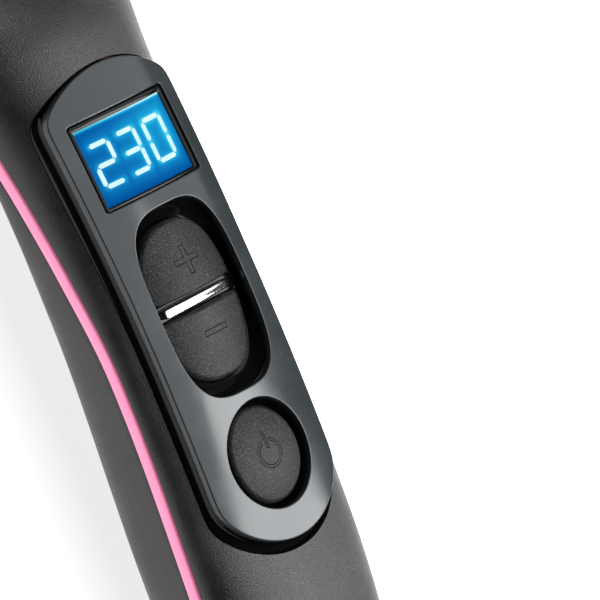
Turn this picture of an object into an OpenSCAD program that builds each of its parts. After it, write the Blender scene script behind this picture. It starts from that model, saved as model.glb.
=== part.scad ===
// Heated hair straightening brush: a two-part casing with a trim band, a finned heating
// plate with ball-tipped teeth, a comb frame round it, and a control panel in the handle.
// The brush lies on its back: +Y runs from the handle to the head, +Z is the bristle side.

/* [Overall] */
// Length of the handle behind the control panel
tail_l = 46.25; // [44:0.25:56]
// Length of the neck between the panel and the head
neck_l = 28.5; // [27:0.5:32]
// Wall thickness of both casings
wall = 2.2; // [1.8:0.1:2.6]
// Height of the coloured trim band between the casings
trim_h = 3; // [2:0.1:3.6]
// How far the trim band stands proud of the casings
trim_proud = 0.25; // [0.1:0.05:0.5]

/* [Head] */
// Width of the head
head_w = 69; // [66:0.5:74]
// Length of the head
head_l = 101; // [98:0.5:106]
// Height of the casing rim round the head
head_top = 20; // [19:0.1:21]
// Width of the comb frame that shows round the plate
frame_w = 6.4; // [5.8:0.1:7]
// Thickness of the comb frame
frame_t = 2.2; // [1.8:0.1:2.6]
// Width of the casing rim outside the comb frame
rim_w = 2.5; // [2.2:0.1:3]

/* [Heating plate] */
// Distance from one row of teeth to the next
row_pitch = 7.2; // [7:0.1:7.3]
// Number of rows of teeth
rows = 11; // [9:1:11]
// Distance from the middle tooth of a row to its outermost tooth
tooth_reach = 20; // [18:0.5:21]
// Height of the teeth above the plate's floor, without their tips
tooth_h = 12; // [10:0.5:13]
// Height of the saddle between two teeth
saddle_h = 5; // [3:0.5:7]
// Thickness of the wavy fin that carries a row of teeth
fin_t = 4.4; // [3.8:0.1:4.8]
// Diameter of the ball tips
ball_d = 3.9; // [3.4:0.1:4]
// Height of the comb tines above the frame
tine_h = 12.5; // [10:0.5:14]
// Diameter of the comb tines
tine_d = 1.9; // [1.6:0.1:2.2]

/* [Handle] */
// Width of the handle at the grip
grip_w = 37; // [36:0.5:40]
// Height of the control panel's highest point above the table
panel_top = 35.6; // [35:0.1:36.4]
// Width of the fascia at its middle
panel_w = 28.8; // [28:0.1:29.6]
// Thickness of the gunmetal fascia
fascia_t = 1.4; // [1.2:0.1:1.6]
// Height of the black step that lifts the fascia above the casing
step_h = 1.5; // [1:0.1:1.8]
// Thickness of the black panel base under the fascia, with that step
base_t = 4.3; // [4.1:0.1:4.6]
// Distance from the panel's head end to the handle's highest point
crown_back = 58.9; // [56:0.1:62]

/* [Controls] */
// Distance from the fascia's head end to the display
display_gap = 8.3; // [7.8:0.1:9]
// Width of the display opening
lcd_w = 23; // [21:0.1:24.5]
// Length of the display opening
lcd_l = 16.2; // [14:0.1:17]
// Distance from the display to the opening round the plus and minus buttons
rocker_gap = 2.9; // [2.6:0.1:3.6]
// Width of the opening round the plus and minus buttons
well_w = 21.2; // [20.6:0.1:22]
// Length of the opening round the plus and minus buttons
well_l = 35.6; // [34:0.1:36.5]
// Width of the divider bar between the two buttons
bar_w = 1.6; // [1:0.1:2]
// Distance from there to the opening round the power button
power_gap = 2.2; // [1.8:0.1:3]
// Width of the opening round the power button
power_w = 18.4; // [17.6:0.1:19.2]
// Length of the opening round the power button
power_l = 20; // [19:0.1:20.6]
// Distance from there to the fascia's tail end
foot_gap = 5.8; // [5:0.1:7]
// Travel of each button
travel = 0.5; // [0.3:0.1:0.6]

/* [Cord swivel] */
// How far the swivel stands out of the tail
swivel_out = 8; // [6:0.5:10]
// Diameter of the swivel where it leaves the tail
swivel_d = 12; // [11:0.5:13]
// Bore of the swivel, for the cord
cord_bore = 6.6; // [6:0.1:7.2]

/* [Hidden] */
$fn = 48;

gap = 0.2;          // running gap round the buttons
fit = 0.15;         // gap between pieces that sit in each other
seam = 0.05;        // joint between the casings and the trim band
run_fit = 0.1;      // running gap of the swivel in its bush
clear = 0.3;        // air left under a piece that moves
over = 1;           // how far a cutter runs past what it cuts

// ---- places along the brush
panel_l = display_gap + lcd_l + rocker_gap + well_l + power_gap + power_l + foot_gap;
total_l = swivel_out + tail_l + panel_l + neck_l + head_l + trim_proud;
tip_y = total_l / 2 - trim_proud;
tail_y = swivel_out - total_l / 2;
head_c = tip_y - head_l / 2;
head_y0 = tip_y - head_l;
tray_y = head_y0 + 1;             // back edge of the tray that holds the comb frame
panel_end = head_y0 - neck_l;
panel_mid = panel_end - panel_l / 2;
crown_y = panel_end - crown_back;
display_y = panel_end - display_gap - lcd_l / 2;
rocker_y = display_y - lcd_l / 2 - rocker_gap - well_l / 2;
power_y = rocker_y - well_l / 2 - power_gap - power_l / 2;
nose_r = head_w / 2;              // how far the head's tip rounds back
tail_r = 14;                      // how far the tail rounds forward

// ---- small helpers
function clamp(v, lo, hi) = min(max(v, lo), hi);
function mix(a, b, t) = a + (b - a) * t;
function smooth(t) = let (u = clamp(t, 0, 1)) u * u * (3 - 2 * u);
function super(u, n) = pow(max(0, 1 - pow(abs(u), n)), 1 / n);
function slope(p, i) =
    let (a = max(i - 1, 0), b = min(i + 1, len(p) - 1))
    (p[b][1] - p[a][1]) / (p[b][0] - p[a][0]);
function span(p, y, i = 0) = i >= len(p) - 2 || y < p[i + 1][0] ? i : span(p, y, i + 1);
// A smooth curve through the points [y, value]
function curve(p, y) =
    let (v = clamp(y, p[0][0], p[len(p) - 1][0]), i = span(p, v), h = p[i + 1][0] - p[i][0],
         t = (v - p[i][0]) / h, a = slope(p, i) * h, b = slope(p, i + 1) * h)
    p[i][1] * (1 + 2 * t) * pow(1 - t, 2) + a * t * pow(1 - t, 2)
    + p[i + 1][1] * t * t * (3 - 2 * t) - b * t * t * (1 - t);

// ---- the casing's form
grip = grip_w / 2;
plan_curve = [[tail_y - 12, grip - 4.6], [tail_y, grip - 3], [crown_y - 54, grip],
              [crown_y - 30, grip + 0.4], [crown_y, grip], [panel_end - 18, grip],
              [panel_end - 4, grip + 1], [panel_end + 8, grip + 2.9], [head_y0 - 7, grip + 7],
              [head_y0 + 3, grip + 10.6], [head_y0 + 13.5, head_w / 2 - 3.2],
              [head_y0 + 28, head_w / 2 - 0.5], [head_c, head_w / 2]];
nose_power = 2.6;
function half_w(y) =
    y > head_c ? head_w / 2 * super((y - head_c) / (head_l / 2), nose_power)
    : curve(plan_curve, y) * super(max(0, tail_y + tail_r - y) / tail_r, 2.4);

// Height of the joint between the casings
part_curve = [[tail_y, 17], [crown_y - 34, 23.2], [crown_y + 6, 25.4], [panel_end - 33, 22.9],
              [panel_end - 10, 18.6], [panel_end + 12, 15.6], [head_y0 + 8, 13.6], [head_c, 13.5],
              [tip_y, 13.5]];
function part_z(y) = curve(part_curve, y);

panel_rise = 2.6;   // how far the panel's crown stands above the casing's
casing_top = panel_top - panel_rise;
top_curve = [[tail_y, casing_top - 8], [tail_y + 13, casing_top - 4.6],
             [tail_y + 33, casing_top - 1.8], [crown_y - 33, casing_top - 0.6],
             [crown_y, casing_top], [panel_end - 20, casing_top - 0.7],
             [panel_end, casing_top - 1.9], [panel_end + 8, casing_top - 2.9],
             [head_y0 - 10, mix(casing_top, head_top, 0.58)],
             [head_y0 - 1, mix(casing_top, head_top, 0.93)], [head_y0 + 4, head_top],
             [tip_y, head_top]];
function top_z(y) = curve(top_curve, y);

sink = 0.5;         // how much is cut off the belly and the head's back to make flats
low_curve = [[tail_y, 6.5], [tail_y + 16, 2.2], [crown_y - 50, -0.3], [crown_y - 33, -sink],
             [crown_y - 14, 1], [crown_y + 6, 3.4], [panel_end - 34, 5.6],
             [panel_end - 12, 8.4], [panel_end + 6, 9.8], [head_y0 - 8, 7.4], [head_y0 + 8, 3.2],
             [head_y0 + 24, 0.3], [head_c - 12, -sink], [head_c + 14, -sink],
             [tip_y - 16, 0.8], [tip_y, 3.4]];
function low_z(y) = curve(low_curve, y);

function in_head(y) = smooth((y - head_y0 + 18) / 22);
function top_power(y) = mix(2.1, 8, in_head(y));
function low_power(y) = mix(2.5, 2.9, in_head(y));

// Places along one side of the plan outline, closer where it turns
function stations(step) =
    let (a0 = tail_y + tail_r, a1 = tip_y - nose_r, n = ceil((a1 - a0) / step))
    concat([for (a = [0:15:75]) tail_y + tail_r * (1 - cos(a))],
           [for (i = [0:n]) mix(a0, a1, i / n)],
           [for (a = [80:-10:0]) tip_y - nose_r * (1 - cos(a))]);
function outline(step, inset) =
    let (y = stations(step), n = len(y) - 1, w = [for (v = y) half_w(v)])
    [for (i = [0:n])
        let (a = i == 0 ? [-w[1], y[1]] : [w[i - 1], y[i - 1]],
             b = i == n ? [-w[n - 1], y[n - 1]] : [w[i + 1], y[i + 1]],
             d = (b - a) / norm(b - a))
        [i == 0 || i == n ? 0 : w[i] - inset * d[1], y[i] + inset * d[0]]];

// One loop of a dome: the plan outline drawn in by the share t, at the height zf gives
function loop(side, t, zf) =
    let (n = len(side) - 1,
         right = [for (p = side)
             let (c = clamp(p[1], tail_y + tail_r, tip_y - nose_r), y = c + (p[1] - c) * (1 - t))
             [p[0] * (1 - t), y, zf(y, t)]])
    concat(right, [for (i = [n - 1:-1:1]) [-right[i][0], right[i][1], right[i][2]]]);

// A closed skin over a stack of loops with the same number of points
module skin(loops, up) {
    n = len(loops[0]);
    m = n / 2;
    top = len(loops) - 1;
    walls = [for (k = [0:top - 1], j = [0:n - 1], f = [0, 1])
        let (a = k * n + j, b = k * n + (j + 1) % n)
        f == 0 ? [a, a + n, b + n] : [a, b + n, b]];
    bottom_lid = lid(0, n, true);
    top_lid = lid(top * n, n, false);
    faces = concat(walls, bottom_lid, top_lid);
    polyhedron(points = [for (l = loops) each l],
               faces = up ? faces : [for (f = faces) [f[2], f[1], f[0]]]);
}
// A lid that joins the right side of a loop to its left side, strip by strip
function lid(base, n, turn) =
    let (m = n / 2)
    [for (i = [0:m - 1])
        let (r0 = base + i, r1 = base + i + 1, l0 = base + (n - i) % n, l1 = base + n - i - 1)
        each (i == 0 ? [turn ? [r0, r1, l1] : [r0, l1, r1]]
              : i == m - 1 ? [turn ? [r0, r1, l0] : [r0, l0, r1]]
              : turn ? [[r0, r1, l1], [r0, l1, l0]] : [[r0, l1, r1], [r0, l0, l1]])];

draw_in = [0, 0.008, 0.035, 0.085, 0.17, 0.3, 0.52, 0.96];
// The upper half of the casing's form, drawn in by inset, and run down by drop
module upper_form(step, inset, drop) {
    zf = function (y, t)
        let (base = part_z(y) + trim_h / 2)
        base + (top_z(y) - inset - base) * super(1 - t, top_power(y));
    side = outline(step, inset);
    below = loop(side, 0, function (y, t) part_z(y) + trim_h / 2 - drop);
    skin(concat(drop > 0 ? [below] : [], [for (t = draw_in) loop(side, t, zf)]), true);
}
// The lower half of the casing's form, drawn in by inset, and run up by rise
module lower_form(step, inset, rise) {
    zf = function (y, t)
        let (base = part_z(y) - trim_h / 2)
        base + (low_z(y) + inset - base) * super(1 - t, low_power(y));
    side = outline(step, inset);
    above = loop(side, 0, function (y, t) part_z(y) - trim_h / 2 + rise);
    skin(concat(rise > 0 ? [above] : [], [for (t = draw_in) loop(side, t, zf)]), false);
}
// A band of the plan outline between two offsets from the joint line
module band_form(step, inset, z0, z1) {
    side = outline(step, inset);
    skin([loop(side, 0, function (y, t) part_z(y) + z0),
          loop(side, 0, function (y, t) part_z(y) + z1)], true);
}

// ---- the head's tray, frame and plate seen from above, drawn in by inset
back_power = 3;
function tray_l(front) = front ? head_l / 2 : head_c - tray_y;
function head_x(y, inset) =
    let (front = y > head_c)
    (head_w / 2 - inset) * super((y - head_c) / (tray_l(front) - inset),
                                 front ? nose_power : back_power);
module head_plan(inset) {
    polygon([for (a = [0:5:355])
        let (c = cos(a), s = sin(a), p = 2 / (s > 0 ? nose_power : back_power))
        [(head_w / 2 - inset) * sign(c) * pow(abs(c), p),
         head_c + (tray_l(s > 0) - inset) * sign(s) * pow(abs(s), p)]]);
}

// ---- the control panel seen from above
panel_arch = 5.9;   // how far the panel's head end bows out
panel_foot = 9.5;   // how far its tail end bows out
panel_flare = 0.5;  // how far its head end is wider than its middle, each side
ledge = 1;          // how far the black base shows beside the fascia
foot_ledge = 1.9;   // and at its tail end
function arc(half, rise, n, apex) =
    let (r = (half * half + rise * rise) / (2 * rise), a = asin(clamp(half / r, -1, 1)))
    [for (i = [0:n]) let (b = mix(a, -a, i / n)) [r * sin(b), apex - r + r * cos(b)]];
function panel_points(g) =
    let (top = arc(panel_w / 2 + panel_flare + g, panel_arch, 20, panel_end + g * 0.3),
         foot = arc(panel_w / 2 + g, panel_foot, 20, panel_l - panel_end + g * foot_ledge),
         waist = panel_w / 2 + g, waist_y = panel_mid + 6)
    concat(top, [[-waist, waist_y]], [for (p = foot) [-p[0], -p[1]]], [[waist, waist_y]]);
module panel_prism(g) {
    linear_extrude(panel_top + over) polygon(panel_points(g));
}
function oval(a, b, n, count = 48) =
    [for (i = [0:count - 1])
        let (c = cos(360 * i / count), s = sin(360 * i / count))
        [a * sign(c) * pow(abs(c), 2 / n), b * sign(s) * pow(abs(s), 2 / n)]];

// ---- the panel's curved surface: a long radius down the handle, a short one across it
crown_long = 450;
crown_cross = 55;
function panel_z(y) =
    panel_top - crown_long + sqrt(pow(crown_long, 2) - pow(y - crown_y, 2));
// Height of the layer that lies that deep under it, which bends across the handle too
function layer_z(x, y, depth) =
    let (r = crown_cross - depth) panel_z(y) - crown_cross + sqrt(r * r - x * x);
function under_z(x, y) = layer_z(x, y, fascia_t + base_t);
// Everything under a surface that is crowned along and across the handle
module below_crown(y, top, along, across, half_angle) {
    translate([0, y, top - along]) rotate([0, 90, 0])
        rotate([0, 0, 180 - half_angle]) rotate_extrude(angle = 2 * half_angle, $fn = 360)
            translate([along - across, 0]) intersection() {
                circle(across, $fn = 180);
                translate([0, -grip_w]) square([across, 2 * grip_w]);
            }
}
// Everything more than depth below the panel's surface
module below_panel(depth) {
    below_crown(crown_y, panel_top - depth, crown_long - depth, crown_cross - depth, 12);
}
module panel_layer(g, top, bottom) {
    difference() {
        intersection() {
            panel_prism(g);
            below_panel(top);
        }
        below_panel(bottom);
    }
}

// ---- colours
soft_black = [0.11, 0.11, 0.12];
gloss_black = [0.03, 0.03, 0.035];
gunmetal = [0.35, 0.37, 0.4];
trim_pink = [1, 0.4, 0.62];
plate_pink = [0.94, 0.1, 0.36];
board_green = [0.1, 0.35, 0.2];
steel = [0.7, 0.71, 0.73];
brass = [0.8, 0.65, 0.3];
mica = [0.85, 0.8, 0.7];
lens_blue = [0.1, 0.45, 0.75];

// ---- screws through the back: place, height of the head's seat, and of the joint they cross
screw_d = 2.6;
screw_l = 10;
screw_head = 5;
head_h = 1.8;
boss_d = 7;
thread_gap = 0.05;
ring_mid = rim_w + frame_w / 2;
frame_z = head_top + 0.6 - frame_t;
casing_bolts = [[grip - 8.2, tail_y + 26, 8, part_z(tail_y + 26) - trim_h / 2],
                [grip - 9.5, panel_end + 12, 13, part_z(panel_end + 12) - trim_h / 2]];
head_bolts = [for (y = [head_c - 24, head_c + 24])
                 [head_x(y, ring_mid), y, 7.5, part_z(y) - trim_h / 2]];
all_bolts = concat(casing_bolts, head_bolts);
module at_bolts(bolts) {
    for (b = bolts, side = [-1, 1])
        translate([side * b[0], b[1], 0]) children();
}
module each_bolt(bolts) {
    for (b = bolts, side = [-1, 1])
        translate([side * b[0], b[1], b[2]]) children();
}

// ---- the swivel in the tail
swivel_z = 15.5;
bush_l = 13;
bush_d = swivel_d + 3;
collar_d = swivel_d + 5;
collar_l = 3.4;
collar_out = 1;
module along_y(y) {
    translate([0, y, swivel_z]) rotate([-90, 0, 0]) children();
}
module bush_seat() {
    along_y(tail_y - over - tail_r)
        cylinder(d = collar_d + 2 * fit, h = tail_r + over + collar_l);
    along_y(tail_y) cylinder(d = bush_d + 2 * fit, h = bush_l);
    along_y(tail_y + bush_l - over) cylinder(d = bush_d + 2 * fit, h = 34);
}
// Half a bulkhead that holds the inner end of the bush
module tail_rib() {
    translate([-grip_w / 2, tail_y + bush_l - 3, 0]) cube([grip_w, 2.4, panel_top]);
}

// ---- upper casing
shelf_w = 1;        // width of the shelf that carries the panel
shelf_t = 1.8;
skirt = 1.3;        // thickness of the wall round the panel's pocket
panel_depth = fascia_t + base_t;
tray_shelf = 1.6;
module upper_casing() {
    color(soft_black) difference() {
        union() {
            difference() {
                upper_form(8, 0, 0);
                upper_form(12, wall, over);
            }
            intersection() {
                upper_form(8, 0, 0);
                union() {
                    difference() {
                        panel_prism(ledge + fit + skirt);
                        below_panel(panel_depth + shelf_t);
                    }
                    tail_rib();
                    translate([0, 0, frame_z - tray_shelf]) linear_extrude(tray_shelf)
                        head_plan(rim_w - 0.6);
                    at_bolts(casing_bolts) cylinder(d = boss_d, h = casing_top);
                }
            }
        }
        difference() {
            panel_prism(ledge + fit);
            below_panel(panel_depth);
        }
        panel_prism(ledge - shelf_w);
        translate([0, 0, frame_z]) linear_extrude(panel_top) head_plan(rim_w);
        translate([0, 0, part_z(head_c)]) linear_extrude(panel_top)
            head_plan(rim_w + frame_w - 2.8);
        at_bolts(head_bolts) cylinder(d = boss_d + 2 * fit, h = frame_z);
        each_bolt(casing_bolts)
            cylinder(d = screw_d + 2 * thread_gap, h = screw_l + over);
        bush_seat();
    }
}

// ---- lower casing
board_post_d = 4.4;
power_z = 9;
power_w2 = 9;
power_y0 = tail_y + 33.5;
power_l2 = 50;
shield_z = 6.5;
shield_w = head_w - 29;
shield_l = head_l - 45;
shield_y0 = head_c - shield_l / 2 - 2;
shield_spots = [for (x = [-1, 1], y = [shield_y0 + 4, shield_y0 + shield_l - 4])
                   [x * (shield_w / 2 - 4), y]];
module lower_casing() {
    color(soft_black) difference() {
        union() {
            difference() {
                lower_form(8, 0, 0);
                lower_form(12, wall, over);
            }
            intersection() {
                lower_form(8, 0, 0);
                union() {
                    tail_rib();
                    for (b = all_bolts, side = [-1, 1])
                        translate([side * b[0], b[1], -over]) cylinder(d = boss_d, h = b[3] + over);
                    for (x = [-1, 1], y = [power_y0 + 4, power_y0 + power_l2 - 4])
                        translate([x * (power_w2 - 2.4), y, -over])
                            cylinder(d = board_post_d, h = power_z + over);
                    for (p = shield_spots)
                        translate([p[0], p[1], -over]) cylinder(d = board_post_d, h = shield_z + over);
                    translate([-contact_w / 2, contact_y0, -over])
                        cube([contact_w, contact_l, contact_z0 + over]);
                }
            }
        }
        translate([-head_w, -total_l, -2 * over]) cube([2 * head_w, 2 * total_l, 2 * over]);
        each_bolt(all_bolts) {
            cylinder(d = screw_d + 2 * gap, h = 30);
            translate([0, 0, -30]) cylinder(d = screw_head + 2 * gap, h = 30);
        }
        bush_seat();
    }
}

// ---- trim band
module trim_band() {
    color(trim_pink) difference() {
        band_form(8, -trim_proud, seam - trim_h / 2, trim_h / 2 - seam);
        band_form(8, wall, -trim_h, trim_h);
        bush_seat();
    }
}

// ---- comb frame
chamfer = 0.9;
row_c = (tip_y + tray_y) / 2;
function row_y(i) = row_c + (i - (rows - 1) / 2) * row_pitch;
module comb_frame() {
    color(soft_black) {
        difference() {
            union() {
                hull() {
                    translate([0, 0, frame_z]) linear_extrude(frame_t - chamfer)
                        head_plan(rim_w + fit);
                    translate([0, 0, frame_z]) linear_extrude(frame_t)
                        head_plan(rim_w + fit + 1.4 * chamfer);
                }
                for (b = head_bolts, side = [-1, 1])
                    translate([side * b[0], b[1], b[3] + clear])
                        cylinder(d = frame_w - 0.6, h = frame_z + 0.5 - b[3] - clear);
            }
            translate([0, 0, frame_z - over]) linear_extrude(frame_t + 2 * over)
                head_plan(rim_w + frame_w);
            each_bolt(head_bolts)
                cylinder(d = screw_d + 2 * thread_gap, h = screw_l + over);
        }
        for (i = [0:rows - 1], side = [-1, 1])
            translate([side * head_x(row_y(i), ring_mid), row_y(i), frame_z + frame_t - 0.5]) tine();
    }
}
module tine() {
    r = tine_d / 2;
    cylinder(r = r, h = tine_h + 0.5 - r, $fn = 24);
    translate([0, 0, tine_h + 0.5 - r]) sphere(r, $fn = 24);
    cylinder(r1 = 1.7 * r + 0.3, r2 = r, h = 2, $fn = 24);
}

// ---- heating plate
plate_gap = 0.4;
plate_in = rim_w + frame_w + plate_gap;
flange_in = rim_w + frame_w - 1.8;
flange_t = 1.6;
floor_z = head_top - 0.6;
plate_z = frame_z - flange_t;
post_r = 2.3;
stagger = 1;
stem_d = 2;
stem_l = 3;
strip_l = head_l - 45;
clamp_x = head_w / 2 - 15.5;
clamp_spots = [for (x = [-clamp_x, clamp_x], s = [-1, 1]) [x, row_c + s * (strip_l / 2 - 3)]];
clamp_boss = 3.4;
function fin_end(i) =
    min([for (s = [-1, 1]) head_x(row_y(i) + s * fin_t / 2, plate_in)]) - 0.3;
function row_teeth(i) =
    let (reach = fin_end(i) - post_r - 1, inner = tooth_reach / 2 + (i % 2) * stagger,
         a = reach >= 6 ? [min(inner, reach)] : [],
         b = reach >= inner + 7 ? [min(tooth_reach, reach)] : [])
    concat([for (x = b) -x], [for (x = a) -x], [0], a, b);
// How far along the dip from a tooth the place x is, from 0 on it to 1 between two
function dip(x, t) =
    let (n = len(t) - 1, k = max([for (i = [0:n]) x >= t[i] ? i : 0]))
    x <= t[0] || x >= t[n] ? 0
    : let (half = (t[k + 1] - t[k]) / 2, d = min(x - t[k], t[k + 1] - x))
      smooth((d - 0.8 * post_r) / (half - 0.8 * post_r));
function fin_height(x, t, end) =
    let (last = max(t))
    abs(x) > last ? mix(tooth_h, 0.9, pow(clamp((abs(x) - last - 0.8 * post_r)
                                                / (end - last - 0.8 * post_r), 0, 1), 0.8))
    : mix(tooth_h, saddle_h, dip(x, t));
function fin_half(x, t) =
    let (last = max(t))
    mix(post_r, fin_t / 2 - 0.7, abs(x) > last ? clamp((abs(x) - last - post_r / 2) / 3, 0, 1)
                                  : dip(x, t));
function fin_stations(t, end) =
    let (n = len(t) - 1)
    concat([for (f = [0, 0.35, 0.7]) mix(-end, t[0] - post_r, f)],
           [for (k = [0:n]) each concat(
               [for (f = [-1, -0.6, 0.6, 1]) t[k] + f * post_r],
               k == n ? [] : [for (f = [0.25, 0.5, 0.75])
                                 mix(t[k] + post_r, t[k + 1] - post_r, f)])],
           [for (f = [0.3, 0.65, 1]) mix(t[n] + post_r, end, f)]);
module fin(i) {
    t = row_teeth(i);
    end = fin_end(i);
    xs = fin_stations(t, end);
    rings = [for (x = xs)
        let (h = fin_height(x, t, end), w = fin_half(x, t), b = min(0.9, h / 2))
        [[x, -w, 0], [x, -w, h - b], [x, -0.82 * w, h], [x, 0.82 * w, h], [x, w, h - b],
         [x, w, 0]]];
    n = len(xs) - 1;
    sides = [for (k = [0:n - 1], j = [0:5], f = [0, 1])
        let (a = k * 6 + j, b = k * 6 + (j + 1) % 6)
        f == 0 ? [a, b, b + 6] : [a, b + 6, a + 6]];
    translate([0, row_y(i), 0])
        polyhedron(points = [for (r = rings) each r],
                   faces = concat(sides, [[5, 4, 3, 2, 1, 0]],
                                  [[for (j = [0:5]) n * 6 + j]]));
}
module heating_plate() {
    color(plate_pink) difference() {
        union() {
            translate([0, 0, plate_z]) linear_extrude(flange_t) head_plan(flange_in);
            translate([0, 0, plate_z]) linear_extrude(floor_z - plate_z) head_plan(plate_in);
            for (i = [0:rows - 1])
                translate([0, 0, floor_z]) fin(i);
            for (p = clamp_spots)
                translate([p[0], p[1], plate_z - clamp_boss])
                    cylinder(d = 5, h = clamp_boss + over);
        }
        for (p = clamp_spots)
            translate([p[0], p[1], plate_z - clamp_boss - over])
                cylinder(d = 2 + 2 * thread_gap, h = clamp_boss + 2.4);
        at_bolts(head_bolts) cylinder(d = frame_w - 0.6 + 2 * fit, h = plate_z + flange_t + fit);
        for (i = [0:rows - 1], x = row_teeth(i))
            translate([x, row_y(i), floor_z + tooth_h - stem_l - clear])
                cylinder(d = stem_d + 2 * thread_gap, h = stem_l + over, $fn = 24);
    }
}
module ball_tips() {
    r = ball_d / 2;
    seat = 0.45 * r;
    color(soft_black)
        for (i = [0:rows - 1], x = row_teeth(i))
            translate([x, row_y(i), floor_z + tooth_h]) {
                intersection() {
                    translate([0, 0, seat]) sphere(r);
                    translate([-r, -r, 0]) cube([2 * r, 2 * r, 2 * r + over]);
                }
                translate([0, 0, -stem_l]) cylinder(d = stem_d, h = stem_l + seat, $fn = 24);
            }
}

// ---- control panel
well_power = 3.3;
button_w = well_w - 1;
button_l = well_l - 6;
web = bar_w + 1;
power_d = 14.2;
bar_depth = 1.7;
bar_t = 2.4;
bar_l = 17.4;
dish_step = 0.42;   // how far the dishes start outside the buttons
post_x = panel_w / 2 - 1.9;
post_spots = [for (x = [-1, 1], s = [-1, 1]) [x * post_x, rocker_y + s * (well_l / 2 + 0.9)]];
board_z = 18.9;
board_t = 1.6;
board_top = board_z + board_t;
window_lip = 0.6;   // how far the window rests on the base
module loft(low, z0, high, z1) {
    n = len(low);
    polyhedron(points = concat([for (p = low) [p[0], p[1], z0]], [for (p = high) [p[0], p[1], z1]]),
               faces = concat([for (j = [0:n - 1], f = [0, 1])
                                  let (k = (j + 1) % n)
                                  f == 0 ? [j, j + n, k + n] : [j, k + n, k]],
                              [[for (j = [0:n - 1]) j]], [[for (j = [n - 1:-1:0]) j + n]]));
}
module rocker_hole(g) {
    intersection() {
        translate([0, rocker_y]) polygon(oval(button_w / 2 + g, button_l / 2 + g, well_power));
        for (s = [-1, 1])
            translate([-well_w, rocker_y + s * (web / 2 + well_l / 2) - well_l / 2])
                square([2 * well_w, well_l]);
    }
}
module window_plan(g) {
    translate([-lcd_w / 2 - g, display_y - lcd_l / 2 - g]) square([lcd_w + 2 * g, lcd_l + 2 * g]);
}
module panel_base() {
    rim_z = panel_z(rocker_y) - fascia_t;
    color(gloss_black) {
        difference() {
            union() {
                panel_layer(ledge, fascia_t + step_h, panel_depth);
                panel_layer(0, fascia_t, fascia_t + step_h + over);
            }
            linear_extrude(panel_top) window_plan(-window_lip);
            linear_extrude(panel_top) rocker_hole(gap);
            translate([0, power_y, 0]) cylinder(d = power_d + 2 * gap, h = panel_top);
            translate([0, rocker_y, 0])
                loft(oval(button_w / 2 + dish_step, button_l / 2 + dish_step, well_power),
                     bar_z - bar_t, oval(well_w / 2, well_l / 2 + 0.9, well_power), rim_z + 0.7);
            translate([0, power_y, 0])
                loft(oval(power_d / 2 + dish_step, power_d / 2 + dish_step, 2), rim_z - 2.2,
                     oval(power_w / 2 + 0.4, power_l / 2 + 0.6, 2), rim_z + 0.7);
        }
        for (p = post_spots) difference() {
            translate([p[0], p[1], board_top])
                cylinder(d = 3.4, h = panel_z(p[1]) - panel_depth + 0.2 - board_top);
            translate([p[0], p[1], board_top - over])
                cylinder(d = 1.6 + 2 * thread_gap, h = 5 + over, $fn = 24);
        }
    }
}
module fascia() {
    color(gunmetal) difference() {
        panel_layer(0, 0, fascia_t);
        linear_extrude(panel_top + over) window_plan(fit);
        translate([0, rocker_y, 0])
            linear_extrude(panel_top + over) polygon(oval(well_w / 2, well_l / 2, well_power));
        translate([0, power_y, 0])
            linear_extrude(panel_top + over) polygon(oval(power_w / 2, power_l / 2, 2));
    }
}
bar_z = panel_z(rocker_y) - bar_depth;
module divider_bar() {
    color(steel) translate([-bar_l / 2, rocker_y - bar_w / 2, bar_z - bar_t])
        cube([bar_l, bar_w, bar_t]);
}
module display_window() {
    color(gloss_black) difference() {
        intersection() {
            linear_extrude(panel_top) window_plan(0);
            below_panel(0.2);
        }
        below_panel(fascia_t);
    }
}
glass_w = lcd_w - 2 * window_lip - 0.6;
glass_l = lcd_l - 2 * window_lip - 0.6;
glass_t = 1.6;
light_t = 4.7;
// The highest level that clears the curved underside of the window
glass_top = layer_z(glass_w / 2, display_y + glass_l / 2, fascia_t) - fit;
module glass_block(grow, z0, z1) {
    translate([-glass_w / 2 - grow, display_y - glass_l / 2 - grow, z0])
        cube([glass_w + 2 * grow, glass_l + 2 * grow, z1 - z0]);
}
module display_glass() {
    color(lens_blue) glass_block(0, glass_top - glass_t, glass_top);
}
module backlight() {
    color("white") glass_block(0, glass_top - glass_t - light_t, glass_top - glass_t);
}
module display_holder() {
    base_z = glass_top - glass_t - light_t;
    rim_top = under_z(glass_w / 2 + 1.4, display_y + glass_l / 2 + 1.4) - fit;
    color(gloss_black) difference() {
        glass_block(1.4, board_top, rim_top);
        glass_block(fit, base_z, rim_top + over);
        glass_block(-1.6, board_top - over, base_z + 1);
    }
}

// ---- buttons
flange_h = 0.9;
flange_out = 0.7;
switch_w = 6;
switch_h = 3.6;
nub_h = 0.8;
stem_gap = travel + clear;
rocker_drop = 0.8;  // how far the buttons' tops lie below the fascia's
rocker_along = 60;  // radii of their domed tops, along the handle and across it
rocker_across = 17;
power_drop = 0.5;
power_crown = 23;
function button_mid(s) = rocker_y + s * (web / 2 + gap + (button_l - web) / 4);
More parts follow.
